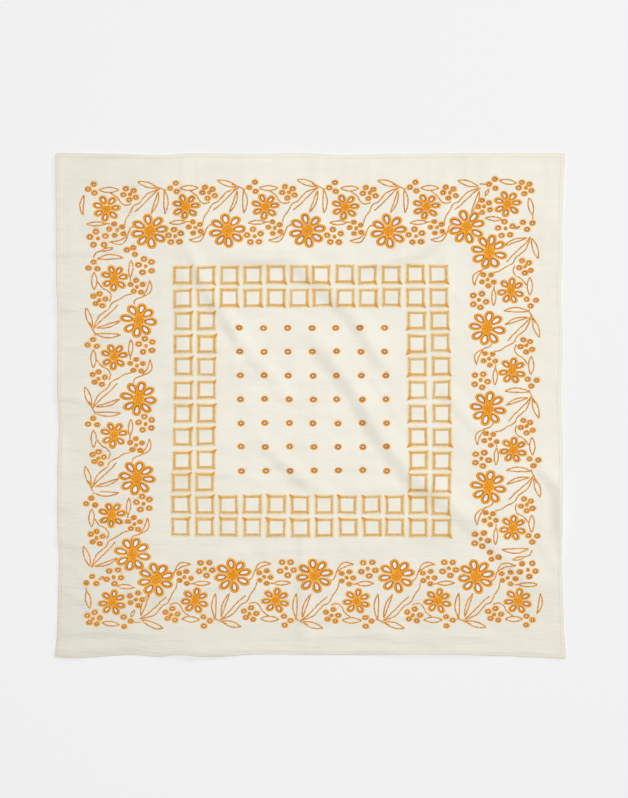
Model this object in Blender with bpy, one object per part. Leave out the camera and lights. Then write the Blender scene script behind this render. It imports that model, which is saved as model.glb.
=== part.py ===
"""Embroidered cotton bandana, laid out flat on a surface.

The cloth is one sheet. Its petals are cut through, and it lies in the soft creases that are
left from having been folded. Lengths in the tables are millimetres, and the mesh is in metres.
+X runs to the right hem, +Y to the top hem and +Z up. The origin is on the surface that the
cloth lies on, under the middle of its outline.
"""

import math
from collections import namedtuple

import bmesh
import bpy
import numpy as np
from mathutils import Vector
from mathutils.geometry import delaunay_2d_cdt

MM = 0.001

# Sizes of the cloth
FLAT_SIDE = 546.0
SHEET_THICKNESS = 1.0
HALF_X = 273.0
HALF_Y = 270.5
CORNER_RADIUS = 5.0
CORNER_STEPS = 3
HEM_STEPS = 22
SLACK = 2.4
SLACK_FADE = 4
MERGE_DISTANCE = 1e-7

# Spacing of the points that carry the creases
GRID_STEP = 42.0
CREASE_STEP = 17.0
CLEAR_OF_HOLE = 2.2
CLEAR_OF_HOLE_MIDDLE = 4.2
CLEAR_OF_HEM = 5.0
CLEAR_OF_POINT = 5.5
CREST_TO_FOOT = (0.0, 0.5, -0.5, 1.0, -1.0)

# How far each hem stands in from the line between its corners, from end to end
Bow = namedtuple("Bow", "along inset")
LEFT_HEM = (
    Bow(-1.00, 0.0),
    Bow(-0.88, 2.2),
    Bow(-0.62, 4.0),
    Bow(-0.45, 2.2),
    Bow(-0.25, 2.4),
    Bow(-0.10, 4.0),
    Bow(0.10, 2.2),
    Bow(0.32, 2.8),
    Bow(0.57, 1.0),
    Bow(1.00, 0.4),
)
RIGHT_HEM = (
    Bow(-1.00, 0.0),
    Bow(-0.85, 2.4),
    Bow(-0.62, 4.2),
    Bow(-0.42, 3.8),
    Bow(-0.20, 3.0),
    Bow(0.05, 5.0),
    Bow(0.25, 3.2),
    Bow(0.45, 5.2),
    Bow(0.62, 3.4),
    Bow(0.70, 4.2),
    Bow(0.85, 2.8),
    Bow(1.00, 1.0),
)
TOP_HEM = (
    Bow(-1.00, 0.0),
    Bow(-0.75, 1.0),
    Bow(-0.60, 2.2),
    Bow(-0.45, 0.2),
    Bow(-0.20, 1.1),
    Bow(-0.05, 0.2),
    Bow(0.12, 2.2),
    Bow(0.35, 1.1),
    Bow(0.60, 0.2),
    Bow(1.00, 0.0),
)
BOTTOM_HEM = (
    Bow(-1.00, 1.6),
    Bow(-0.92, 1.0),
    Bow(-0.70, 4.2),
    Bow(-0.60, 2.4),
    Bow(-0.52, 4.4),
    Bow(-0.40, 2.2),
    Bow(-0.18, 5.2),
    Bow(0.20, 4.2),
    Bow(0.56, 4.8),
    Bow(0.75, 3.2),
    Bow(0.90, 1.8),
    Bow(1.00, 0.0),
)

# Cut petals: the flower's hole count, each hole's size and how far its middle is from the flower's
Flower = namedtuple("Flower", "petals reach length width taper sides strays")
LARGE_FLOWER = Flower(
    petals=8,
    reach=12.4,
    length=9.4,
    width=5.5,
    taper=0.22,
    sides=8,
    strays={"top": (-1.0, -0.5), "right": (-2.8, 0.8), "bottom": (-2.2, 0.8), "left": (0.0, 0.8)},
)
SMALL_FLOWER = Flower(
    petals=7,
    reach=9.3,
    length=6.6,
    width=4.2,
    taper=0.22,
    sides=6,
    strays={"top": (-0.8, -1.0), "right": (-1.8, -0.2), "bottom": (-1.7, -0.3), "left": (0.0, -1.4)},
)

# One side of the flower border, along the hem and out from the middle of the embroidery
Place = namedtuple("Place", "along out turn")
LARGE_PLACES = (
    Place(-92.0, 187.0, 11.0),
    Place(-5.0, 187.0, 11.0),
    Place(83.5, 187.0, 11.0),
    Place(168.0, 190.5, 16.0),
)
SMALL_PLACES = (
    Place(-138.0, 214.0, 5.0),
    Place(-51.0, 214.0, 5.0),
    Place(36.0, 214.0, 5.0),
    Place(124.5, 214.0, 5.0),
)
LARGE_CORNER_PLACES = (Place(-178.7, 187.9, 11.0),)
SMALL_CORNER_PLACES = (
    Place(-224.0, 214.0, 5.0),
    Place(211.5, 218.0, 5.0),
)
BORDER_SHIFT = (2.4, 3.2)

# How far the needlework strays along and out at a place along a side, near the squares and near the hem
Stray = namedtuple("Stray", "along inner outer")
INNER_OUT = 187.0
OUTER_OUT = 232.0
STRAYS = {
    "top": (
        Stray(-235.0, (1.5, -0.5), (2.0, -2.5)),
        Stray(-212.0, (6.0, -1.5), (4.0, -2.0)),
        Stray(-150.0, (2.5, 1.0), (2.5, -0.5)),
        Stray(-90.0, (1.0, 1.0), (1.0, -0.5)),
        Stray(-5.0, (0.5, 1.0), (0.5, 0.0)),
        Stray(80.0, (-0.5, 0.5), (-1.0, 0.0)),
        Stray(165.0, (-0.5, 1.5), (-2.0, -0.5)),
        Stray(200.0, (0.0, -0.5), (-0.5, -1.5)),
    ),
    "bottom": (
        Stray(-235.0, (0.5, 2.0), (6.0, 1.5)),
        Stray(-212.0, (5.5, 0.5), (4.5, 2.0)),
        Stray(-150.0, (4.0, 0.5), (5.5, 3.5)),
        Stray(-90.0, (4.0, 1.0), (5.5, 4.0)),
        Stray(-5.0, (5.5, 0.5), (6.5, 4.0)),
        Stray(80.0, (5.0, 0.0), (6.0, 2.0)),
        Stray(165.0, (3.5, 0.5), (2.5, 3.0)),
        Stray(200.0, (6.5, -0.5), (6.5, -0.5)),
    ),
    "left": (
        Stray(-150.0, (2.0, 0.0), (3.0, 1.0)),
        Stray(-90.0, (2.0, 0.0), (0.5, 2.5)),
        Stray(-5.0, (0.0, 0.0), (-0.5, 3.0)),
        Stray(80.0, (-2.0, 2.0), (-2.5, 3.5)),
        Stray(165.0, (-3.0, 3.5), (-3.0, 5.5)),
    ),
    "right": (
        Stray(-150.0, (3.0, 1.5), (5.0, 3.0)),
        Stray(-90.0, (3.5, 2.0), (1.5, 4.0)),
        Stray(-5.0, (2.0, 2.0), (1.0, 3.0)),
        Stray(80.0, (1.0, 0.5), (0.5, 2.5)),
        Stray(165.0, (-1.0, -1.0), (-1.5, 1.5)),
    ),
}

# Soft folds: a ridge follows each line, with its height and half its width
Fold = namedtuple("Fold", "name height spread line")
FOLDS = (
    Fold("upper left", 4.0, 13.0, ((-136, 178), (-106, 118), (-61, 53))),
    Fold("upper left end", 2.4, 13.0, ((-78, 78), (-57, 49), (-21, 10))),
    Fold("upper middle", 4.2, 15.0, ((-92, 160), (-19, 157), (17, 126), (53, 90), (82, 40))),
    Fold(
        "long diagonal",
        5.4,
        17.0,
        ((4, 73), (45, 24), (72, -24), (109, -73), (133, -90), (150, -105)),
    ),
    Fold("long diagonal end", 3.6, 17.0, ((109, -73), (133, -90), (177, -127), (242, -192))),
    Fold("lower left", 3.4, 13.0, ((-50, -40), (-4, -81), (16, -92))),
    Fold("right of middle", 3.0, 13.0, ((136, 26), (183, -28))),
    Fold("upper right", 4.6, 15.0, ((44, 149), (60, 152), (109, 164), (152, 184))),
    Fold("right hem", 4.4, 13.0, ((245, -62), (267, -88), (270, -150))),
    Fold("bottom hem", 3.8, 24.0, ((-146, -262), (-104, -264))),
    Fold("left press line", 1.6, 12.0, ((-134, 256), (-134, 20))),
    Fold("middle press line", 1.5, 9.0, ((8, 262), (7, 180))),
    Fold("lower press line", 1.8, 12.0, ((-5, -110), (-9, -258))),
    Fold("right press line", 1.6, 12.0, ((144, 250), (144, 60))),
    Fold("cross press line", 1.6, 12.0, ((-258, 4), (-90, 4))),
)
FOLD_END = 26.0
FOLD_END_SHARE = 0.35

CLOTH_COLOUR = (0.84, 0.82, 0.72, 1.0)
CLOTH_ROUGHNESS = 0.85
SHARP_ANGLE = 40.0


def clear_scene():
    """Remove every object of the open scene."""
    for obj in list(bpy.data.objects):
        bpy.data.objects.remove(obj, do_unlink=True)


def cloth_material():
    """Matt undyed cotton."""
    material = bpy.data.materials.new("cotton")
    material.use_nodes = True
    shader = material.node_tree.nodes["Principled BSDF"]
    shader.inputs["Base Color"].default_value = CLOTH_COLOUR
    shader.inputs["Roughness"].default_value = CLOTH_ROUGHNESS
    shader.inputs["Metallic"].default_value = 0.0
    return material


def hem_inset(hem, along):
    """How far a hem stands in at a place along it, eased from row to row."""
    for low, high in zip(hem, hem[1:]):
        if along <= high.along:
            share = max(0.0, (along - low.along) / (high.along - low.along))
            share = 0.5 - 0.5 * math.cos(math.pi * share)
            return low.inset + share * (high.inset - low.inset)
    return hem[-1].inset


def lay(u, v):
    """Carry a point of the flat cloth to its place as the cloth lies, in plan."""
    across = u / (FLAT_SIDE / 2)
    up = v / (FLAT_SIDE / 2)
    side_hem = RIGHT_HEM if across > 0 else LEFT_HEM
    end_hem = TOP_HEM if up > 0 else BOTTOM_HEM
    ease_x = math.copysign(abs(across) ** SLACK_FADE, across)
    ease_y = math.copysign(abs(up) ** SLACK_FADE, up)
    x = across * (HALF_X - SLACK) + ease_x * (SLACK - hem_inset(side_hem, up))
    y = up * (HALF_Y - SLACK) + ease_y * (SLACK - hem_inset(end_hem, across))
    return x, y


def outline():
    """The hem's outer edge, anticlockwise, with its corners rounded."""
    half = FLAT_SIDE / 2
    middle = half - CORNER_RADIUS
    points = []
    for quarter in range(4):
        turn = math.radians(90 * quarter)
        side = [(half, middle * (2 * i / HEM_STEPS - 1)) for i in range(HEM_STEPS)]
        for i in range(CORNER_STEPS):
            angle = math.radians(90 * i / CORNER_STEPS)
            side.append(
                (middle + CORNER_RADIUS * math.cos(angle), middle + CORNER_RADIUS * math.sin(angle))
            )
        for u, v in side:
            points.append(
                lay(u * math.cos(turn) - v * math.sin(turn), u * math.sin(turn) + v * math.cos(turn))
            )
    return points


def side_point(side, along, out):
    """A place of the border chart on one side: the lower side is turned, the others are mirrored."""
    if side == "top":
        return along, out
    if side == "bottom":
        return -along, -out
    if side == "left":
        return -out, -along
    return out, along


def flower_middle(side, place, flower):
    """Where a flower is worked: its place on the chart and how far the needlework strays there."""
    along = place.along + flower.strays[side][0]
    out = place.out + flower.strays[side][1]
    share = np.clip((out - INNER_OUT) / (OUTER_OUT - INNER_OUT), -0.2, 1.2)
    rows = STRAYS[side]
    stops = [row.along for row in rows]
    found = []
    for way in range(2):
        inner = np.interp(along, stops, [row.inner[way] for row in rows])
        outer = np.interp(along, stops, [row.outer[way] for row in rows])
        found.append(float(inner + share * (outer - inner)))
    return along + found[0], out + found[1]


def petal_holes(side, place, flower):
    """The cut holes of one flower, each as a loop of points."""
    loops = []
    middle_along, middle_out = flower_middle(side, place, flower)
    for petal in range(flower.petals):
        axis = math.radians(place.turn + 360 * petal / flower.petals)
        loop = []
        for corner in range(flower.sides):
            round_hole = 2 * math.pi * (corner + 0.5) / flower.sides
            outward = flower.reach + flower.length / 2 * math.cos(round_hole)
            swell = 1 + flower.taper * math.cos(round_hole)
            sideways = flower.width / 2 * swell * math.sin(round_hole)
            along = middle_along + outward * math.cos(axis) - sideways * math.sin(axis)
            out = middle_out + outward * math.sin(axis) + sideways * math.cos(axis)
            u, v = side_point(side, along, out)
            loop.append(lay(u + BORDER_SHIFT[0], v + BORDER_SHIFT[1]))
        loops.append(loop)
    return loops


def all_holes():
    """The holes of every flower in the border."""
    loops = []
    for side in ("top", "right", "bottom", "left"):
        for place in LARGE_PLACES:
            loops += petal_holes(side, place, LARGE_FLOWER)
        for place in SMALL_PLACES:
            loops += petal_holes(side, place, SMALL_FLOWER)
    for side in ("top", "bottom"):
        for place in LARGE_CORNER_PLACES:
            loops += petal_holes(side, place, LARGE_FLOWER)
        for place in SMALL_CORNER_PLACES:
            loops += petal_holes(side, place, SMALL_FLOWER)
    return loops


def fold_lift(points, fold):
    """Height of one fold over an array of points: a soft ridge that dies away at its ends."""
    line = np.array(fold.line, float)
    starts = line[:-1]
    runs = line[1:] - starts
    lengths = np.linalg.norm(runs, axis=1)
    before = np.concatenate([[0.0], np.cumsum(lengths)])
    offset = points[:, None, :] - starts[None]
    share = np.clip((offset * runs).sum(axis=2) / lengths**2, 0.0, 1.0)
    gap = np.linalg.norm(offset - share[..., None] * runs, axis=2)
    nearest = gap.argmin(axis=1)
    rows = np.arange(len(points))
    distance = gap[rows, nearest]
    travelled = before[nearest] + share[rows, nearest] * lengths[nearest]
    to_end = np.minimum(travelled, before[-1] - travelled)
    ridge = 0.5 + 0.5 * np.cos(math.pi * np.minimum(distance / fold.spread, 1.0))
    ends = FOLD_END_SHARE + (1 - FOLD_END_SHARE) * np.minimum(to_end / FOLD_END, 1.0)
    return fold.height * ridge * ends


def lift(points):
    """Height of the cloth's underside over an array of points, where folds meet the higher one wins."""
    return np.max([fold_lift(points, fold) for fold in FOLDS], axis=0)


def fold_points():
    """Points along each fold's crest and feet, so that the mesh bends there."""
    points = []
    for fold in FOLDS:
        line = np.array(fold.line, float)
        for start, end in zip(line, line[1:]):
            length = np.linalg.norm(end - start)
            ahead = (end - start) / length
            aside = np.array((-ahead[1], ahead[0]))
            steps = max(1, round(length / CREASE_STEP))
            for i in range(steps + 1):
                middle = start + (end - start) * i / steps
                for share in CREST_TO_FOOT:
                    points.append(middle + aside * share * fold.spread)
    return points


def grid_points():
    """An even grid between the folds."""
    across = np.arange(-HALF_X + GRID_STEP, HALF_X - GRID_STEP / 2, GRID_STEP)
    return [np.array((x, y)) for y in across for x in across]


def inner_points(hem, holes):
    """The fold and grid points that are clear of the hem, of the holes and of each other."""
    cut = np.array([point for loop in holes for point in loop])
    edge = np.array(hem)
    kept = np.empty((0, 2))
    for point in fold_points() + grid_points():
        if abs(point[0]) > HALF_X - 2 * CLEAR_OF_HEM or abs(point[1]) > HALF_Y - 2 * CLEAR_OF_HEM:
            continue
        if np.linalg.norm(edge - point, axis=1).min() < CLEAR_OF_HEM:
            continue
        if np.linalg.norm(cut - point, axis=1).min() < CLEAR_OF_HOLE:
            continue
        if len(kept) and np.linalg.norm(kept - point, axis=1).min() < CLEAR_OF_POINT:
            continue
        kept = np.vstack([kept, point])
    middles = np.array([np.mean(loop, axis=0) for loop in holes])
    gaps = np.array([np.linalg.norm(middles - point, axis=1).min() for point in kept])
    return kept[gaps > CLEAR_OF_HOLE_MIDDLE]


def sheet_mesh():
    """The cloth's underside as triangles between the hem, the holes and the fold points."""
    hem = outline()
    holes = all_holes()
    points = []
    edges = []
    owner = []
    for number, loop in enumerate([hem] + holes):
        first = len(points)
        points += loop
        owner += [number] * len(loop)
        edges += [(first + i, first + (i + 1) % len(loop)) for i in range(len(loop))]
    inside = inner_points(hem, holes)
    points += [tuple(point) for point in inside]
    owner += [-1] * len(inside)
    flat = [Vector(point) for point in points]
    corners, _, faces, sources, _, _ = delaunay_2d_cdt(flat, edges, [], 1, MERGE_DISTANCE)
    heights = lift(np.array([tuple(corner) for corner in corners]))
    loops = [owner[source[0]] for source in sources]
    sheet = bmesh.new()
    verts = [
        sheet.verts.new((corner[0] * MM, corner[1] * MM, height * MM))
        for corner, height in zip(corners, heights)
    ]
    for face in faces:
        found = {loops[i] for i in face}
        if len(found) == 1 and found.pop() > 0:
            continue
        sheet.faces.new([verts[i] for i in face])
    bmesh.ops.recalc_face_normals(sheet, faces=sheet.faces[:])
    if sum(face.normal.z for face in sheet.faces) < 0:
        bmesh.ops.reverse_faces(sheet, faces=sheet.faces[:])
    mesh = bpy.data.meshes.new("cloth")
    sheet.to_mesh(mesh)
    sheet.free()
    return mesh


def build():
    """Make the cloth, with its underside on the folds and its thickness above it."""
    clear_scene()
    mesh = sheet_mesh()
    mesh.materials.append(cloth_material())
    mesh.shade_smooth()
    mesh.set_sharp_from_angle(angle=math.radians(SHARP_ANGLE))
    cloth = bpy.data.objects.new("cloth", mesh)
    bpy.context.scene.collection.objects.link(cloth)
    thicken = cloth.modifiers.new("thickness", "SOLIDIFY")
    thicken.thickness = SHEET_THICKNESS * MM
    thicken.offset = 1.0
    thicken.use_rim = True
    thicken.show_render = thicken.show_viewport


build()
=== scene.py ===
"""Embroidered cotton bandana, laid flat and seen from above.

The cloth is a thin square of cotton gauze with a narrow hem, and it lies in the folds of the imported
solid. On it are worked a border of eyelet flowers, berries and leaves, a frame of stitched squares
and a field of small eyelets. Lengths are millimetres unless a name says otherwise, and finished
meshes are in metres. A place on the flat cloth is (u, v) from its middle, with +u to the right hem
and +v to the top hem. A place of the border chart is (along, out): along the hem and out from the
middle of the embroidery.
"""

import logging
import math
from collections.abc import Iterable, Sequence
from dataclasses import dataclass, field
from enum import Enum
from typing import NamedTuple

import bmesh
import bpy
import numpy as np
from mathutils import Matrix, Vector
from mathutils.geometry import delaunay_2d_cdt
from mathutils.kdtree import KDTree


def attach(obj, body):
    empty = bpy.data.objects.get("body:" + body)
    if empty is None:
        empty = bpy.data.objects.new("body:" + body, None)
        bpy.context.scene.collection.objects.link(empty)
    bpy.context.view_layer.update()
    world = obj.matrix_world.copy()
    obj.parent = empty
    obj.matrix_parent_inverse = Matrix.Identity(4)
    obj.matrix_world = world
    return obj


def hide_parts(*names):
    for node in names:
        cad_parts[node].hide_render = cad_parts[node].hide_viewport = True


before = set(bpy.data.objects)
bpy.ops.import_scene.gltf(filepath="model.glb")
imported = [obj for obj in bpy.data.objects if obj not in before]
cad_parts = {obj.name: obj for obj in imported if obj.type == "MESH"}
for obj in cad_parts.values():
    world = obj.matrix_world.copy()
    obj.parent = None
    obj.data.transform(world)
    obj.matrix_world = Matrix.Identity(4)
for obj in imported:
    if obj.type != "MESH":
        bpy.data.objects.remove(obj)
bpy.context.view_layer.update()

MM = 0.001
FULL_TURN = 360.0
FLAT_SIDE = 546.0
HEM_WIDTH = 4.8

Spot = tuple[float, float]
Colour = tuple[float, float, float, float]
Source = bpy.types.NodeSocket | float | tuple

WHITE = (1.0, 1.0, 1.0, 1.0)
BLACK = (0.0, 0.0, 0.0, 1.0)

log = logging.getLogger("bandana")


class Bow(NamedTuple):
    """How far a hem stands in from the line between its corners, at a place along it."""

    along: float
    inset: float


class Crease(NamedTuple):
    """A soft ridge that follows a line on the laid cloth."""

    name: str
    height: float
    spread: float
    line: tuple[Spot, ...]


LEFT_HEM = (
    Bow(-1.00, 0.0),
    Bow(-0.88, 2.2),
    Bow(-0.62, 4.0),
    Bow(-0.45, 2.2),
    Bow(-0.25, 2.4),
    Bow(-0.10, 4.0),
    Bow(0.10, 2.2),
    Bow(0.32, 2.8),
    Bow(0.57, 1.0),
    Bow(1.00, 0.4),
)
RIGHT_HEM = (
    Bow(-1.00, 0.0),
    Bow(-0.85, 2.4),
    Bow(-0.62, 4.2),
    Bow(-0.42, 3.8),
    Bow(-0.20, 3.0),
    Bow(0.05, 5.0),
    Bow(0.25, 3.2),
    Bow(0.45, 5.2),
    Bow(0.62, 3.4),
    Bow(0.70, 4.2),
    Bow(0.85, 2.8),
    Bow(1.00, 1.0),
)
TOP_HEM = (
    Bow(-1.00, 0.0),
    Bow(-0.75, 1.0),
    Bow(-0.60, 2.2),
    Bow(-0.45, 0.2),
    Bow(-0.20, 1.1),
    Bow(-0.05, 0.2),
    Bow(0.12, 2.2),
    Bow(0.35, 1.1),
    Bow(0.60, 0.2),
    Bow(1.00, 0.0),
)
BOTTOM_HEM = (
    Bow(-1.00, 1.6),
    Bow(-0.92, 1.0),
    Bow(-0.70, 4.2),
    Bow(-0.60, 2.4),
    Bow(-0.52, 4.4),
    Bow(-0.40, 2.2),
    Bow(-0.18, 5.2),
    Bow(0.20, 4.2),
    Bow(0.56, 4.8),
    Bow(0.75, 3.2),
    Bow(0.90, 1.8),
    Bow(1.00, 0.0),
)

# The main folds, as in the solid
FOLDS = (
    Crease("upper left", 4.0, 13.0, ((-136, 178), (-106, 118), (-61, 53))),
    Crease("upper left end", 2.4, 13.0, ((-78, 78), (-57, 49), (-21, 10))),
    Crease("upper middle", 4.2, 15.0, ((-92, 160), (-19, 157), (17, 126), (53, 90), (82, 40))),
    Crease(
        "long diagonal",
        5.4,
        17.0,
        ((4, 73), (45, 24), (72, -24), (109, -73), (133, -90), (150, -105)),
    ),
    Crease("long diagonal end", 3.6, 17.0, ((109, -73), (133, -90), (177, -127), (242, -192))),
    Crease("lower left", 3.4, 13.0, ((-50, -40), (-4, -81), (16, -92))),
    Crease("right of middle", 3.0, 13.0, ((136, 26), (183, -28))),
    Crease("upper right", 4.6, 15.0, ((44, 149), (60, 152), (109, 164), (152, 184))),
    Crease("right hem", 4.4, 13.0, ((245, -62), (267, -88), (270, -150))),
    Crease("bottom hem", 3.8, 24.0, ((-146, -262), (-104, -264))),
    Crease("left press line", 1.6, 12.0, ((-134, 256), (-134, 20))),
    Crease("middle press line", 1.5, 9.0, ((8, 262), (7, 180))),
    Crease("lower press line", 1.8, 12.0, ((-5, -110), (-9, -258))),
    Crease("right press line", 1.6, 12.0, ((144, 250), (144, 60))),
    Crease("cross press line", 1.6, 12.0, ((-258, 4), (-90, 4))),
)

# Finer wrinkles between the main folds
WRINKLES = (
    Crease("upper right cross line", 0.9, 7.0, ((186, 143), (228, 145), (266, 143))),
    Crease("left of middle", 0.7, 6.0, ((-108, 37), (-78, 35), (-52, 38))),
    Crease("middle left slant", 0.9, 8.0, ((-66, 38), (-38, 14), (-6, -2))),
    Crease("low slant", 0.8, 7.0, ((-84, -146), (-68, -160), (-50, -178))),
    Crease("low middle slant", 0.7, 7.0, ((34, -146), (54, -164))),
    Crease("right bottom roll", 1.0, 8.0, ((62, -243), (92, -248), (118, -247))),
    Crease("right bottom roll end", 0.9, 7.0, ((150, -248), (184, -247), (208, -251))),
    Crease("right edge tuck", 1.0, 8.0, ((238, -138), (256, -160), (266, -180))),
    Crease("upper right bend", 0.9, 9.0, ((136, 132), (158, 118), (166, 96))),
    Crease("right of the dots", 0.8, 9.0, ((142, 92), (160, 66), (182, 50))),
    Crease("top slant", 0.7, 9.0, ((60, 104), (86, 122), (124, 128))),
    Crease("middle slant", 0.8, 9.0, ((22, 74), (52, 44), (84, 4), (104, -34))),
    Crease("left cross line", 0.8, 7.0, ((-168, -112), (-146, -116), (-120, -112))),
    Crease("left lower cross line", 0.9, 7.0, ((-262, -118), (-232, -122), (-200, -118))),
    Crease("left foot", 1.0, 8.0, ((-258, -168), (-238, -186), (-222, -210))),
    Crease("left hem high", 0.8, 5.0, ((-268, 106), (-246, 103), (-224, 108))),
    Crease("left hem upper", 0.7, 5.0, ((-266, 88), (-240, 86), (-226, 90))),
    Crease("left hem notch", 1.2, 6.0, ((-272, 6), (-250, 8), (-226, 2))),
    Crease("left hem middle", 0.8, 5.0, ((-270, -6), (-244, -8), (-220, -3))),
    Crease("left hem lower", 1.0, 5.0, ((-272, -42), (-246, -46), (-220, -40))),
    Crease("left hem low", 1.1, 5.0, ((-272, -70), (-250, -72), (-222, -66))),
    Crease("left hem second", 0.9, 5.0, ((-272, -90), (-252, -94), (-230, -88))),
    Crease("left hem third", 1.2, 5.0, ((-272, -108), (-246, -113), (-218, -106))),
    Crease("left hem fourth", 1.0, 5.0, ((-270, -129), (-250, -134), (-226, -128))),
    Crease("left hem fifth", 1.1, 5.0, ((-272, -146), (-248, -150), (-226, -144))),
    Crease("left hem foot", 0.9, 5.0, ((-270, -166), (-254, -172), (-238, -170))),
    Crease("left corner", 1.0, 6.0, ((-268, -196), (-248, -204), (-234, -222))),
    Crease("bottom left roll", 1.0, 9.0, ((-224, -236), (-180, -244), (-150, -240))),
    Crease("bottom middle roll", 0.8, 8.0, ((-84, -240), (-50, -246), (-22, -242))),
)


def soft_step(share: np.ndarray) -> np.ndarray:
    """Ease shares from 0 to 1, gently at both ends."""
    return share * share * (3 - 2 * share)


@dataclass(frozen=True)
class Crinkle:
    """Fine uneven rippling of the cloth, as smooth noise on a lattice of its own."""

    cell: Spot
    height: float
    turn: float
    seed: int
    toward: Spot = (0.0, 0.0)
    rest: float = 0.42

    LATTICE = 160
    LEAST = 0.35

    def rise(self, laid: np.ndarray) -> np.ndarray:
        """Height of the rippling.

        Args:
            laid: Places on the laid cloth, one a row.

        Returns:
            The height at each place. It is nought where the cloth rests on the surface.
        """
        turn = math.radians(self.turn)
        along = laid[:, 0] * math.cos(turn) + laid[:, 1] * math.sin(turn)
        across = laid[:, 1] * math.cos(turn) - laid[:, 0] * math.sin(turn)
        column = along / self.cell[0] + self.LATTICE / 2
        row = across / self.cell[1] + self.LATTICE / 2
        left = np.floor(column).astype(int)
        low = np.floor(row).astype(int)
        share_x = soft_step(column - left)
        share_y = soft_step(row - low)
        lattice = np.random.default_rng(self.seed).random((self.LATTICE, self.LATTICE))
        lower = lattice[low, left] * (1 - share_x) + lattice[low, left + 1] * share_x
        upper = lattice[low + 1, left] * (1 - share_x) + lattice[low + 1, left + 1] * share_x
        weight = 0.5 + (laid[:, 0] * self.toward[0] + laid[:, 1] * self.toward[1]) / FLAT_SIDE
        weight = self.LEAST + (1 - self.LEAST) * np.clip(weight, 0.0, 1.0)
        noise = lower * (1 - share_y) + upper * share_y
        return self.height * weight * np.clip(noise - self.rest, 0.0, 1.0) / (1 - self.rest)


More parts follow.
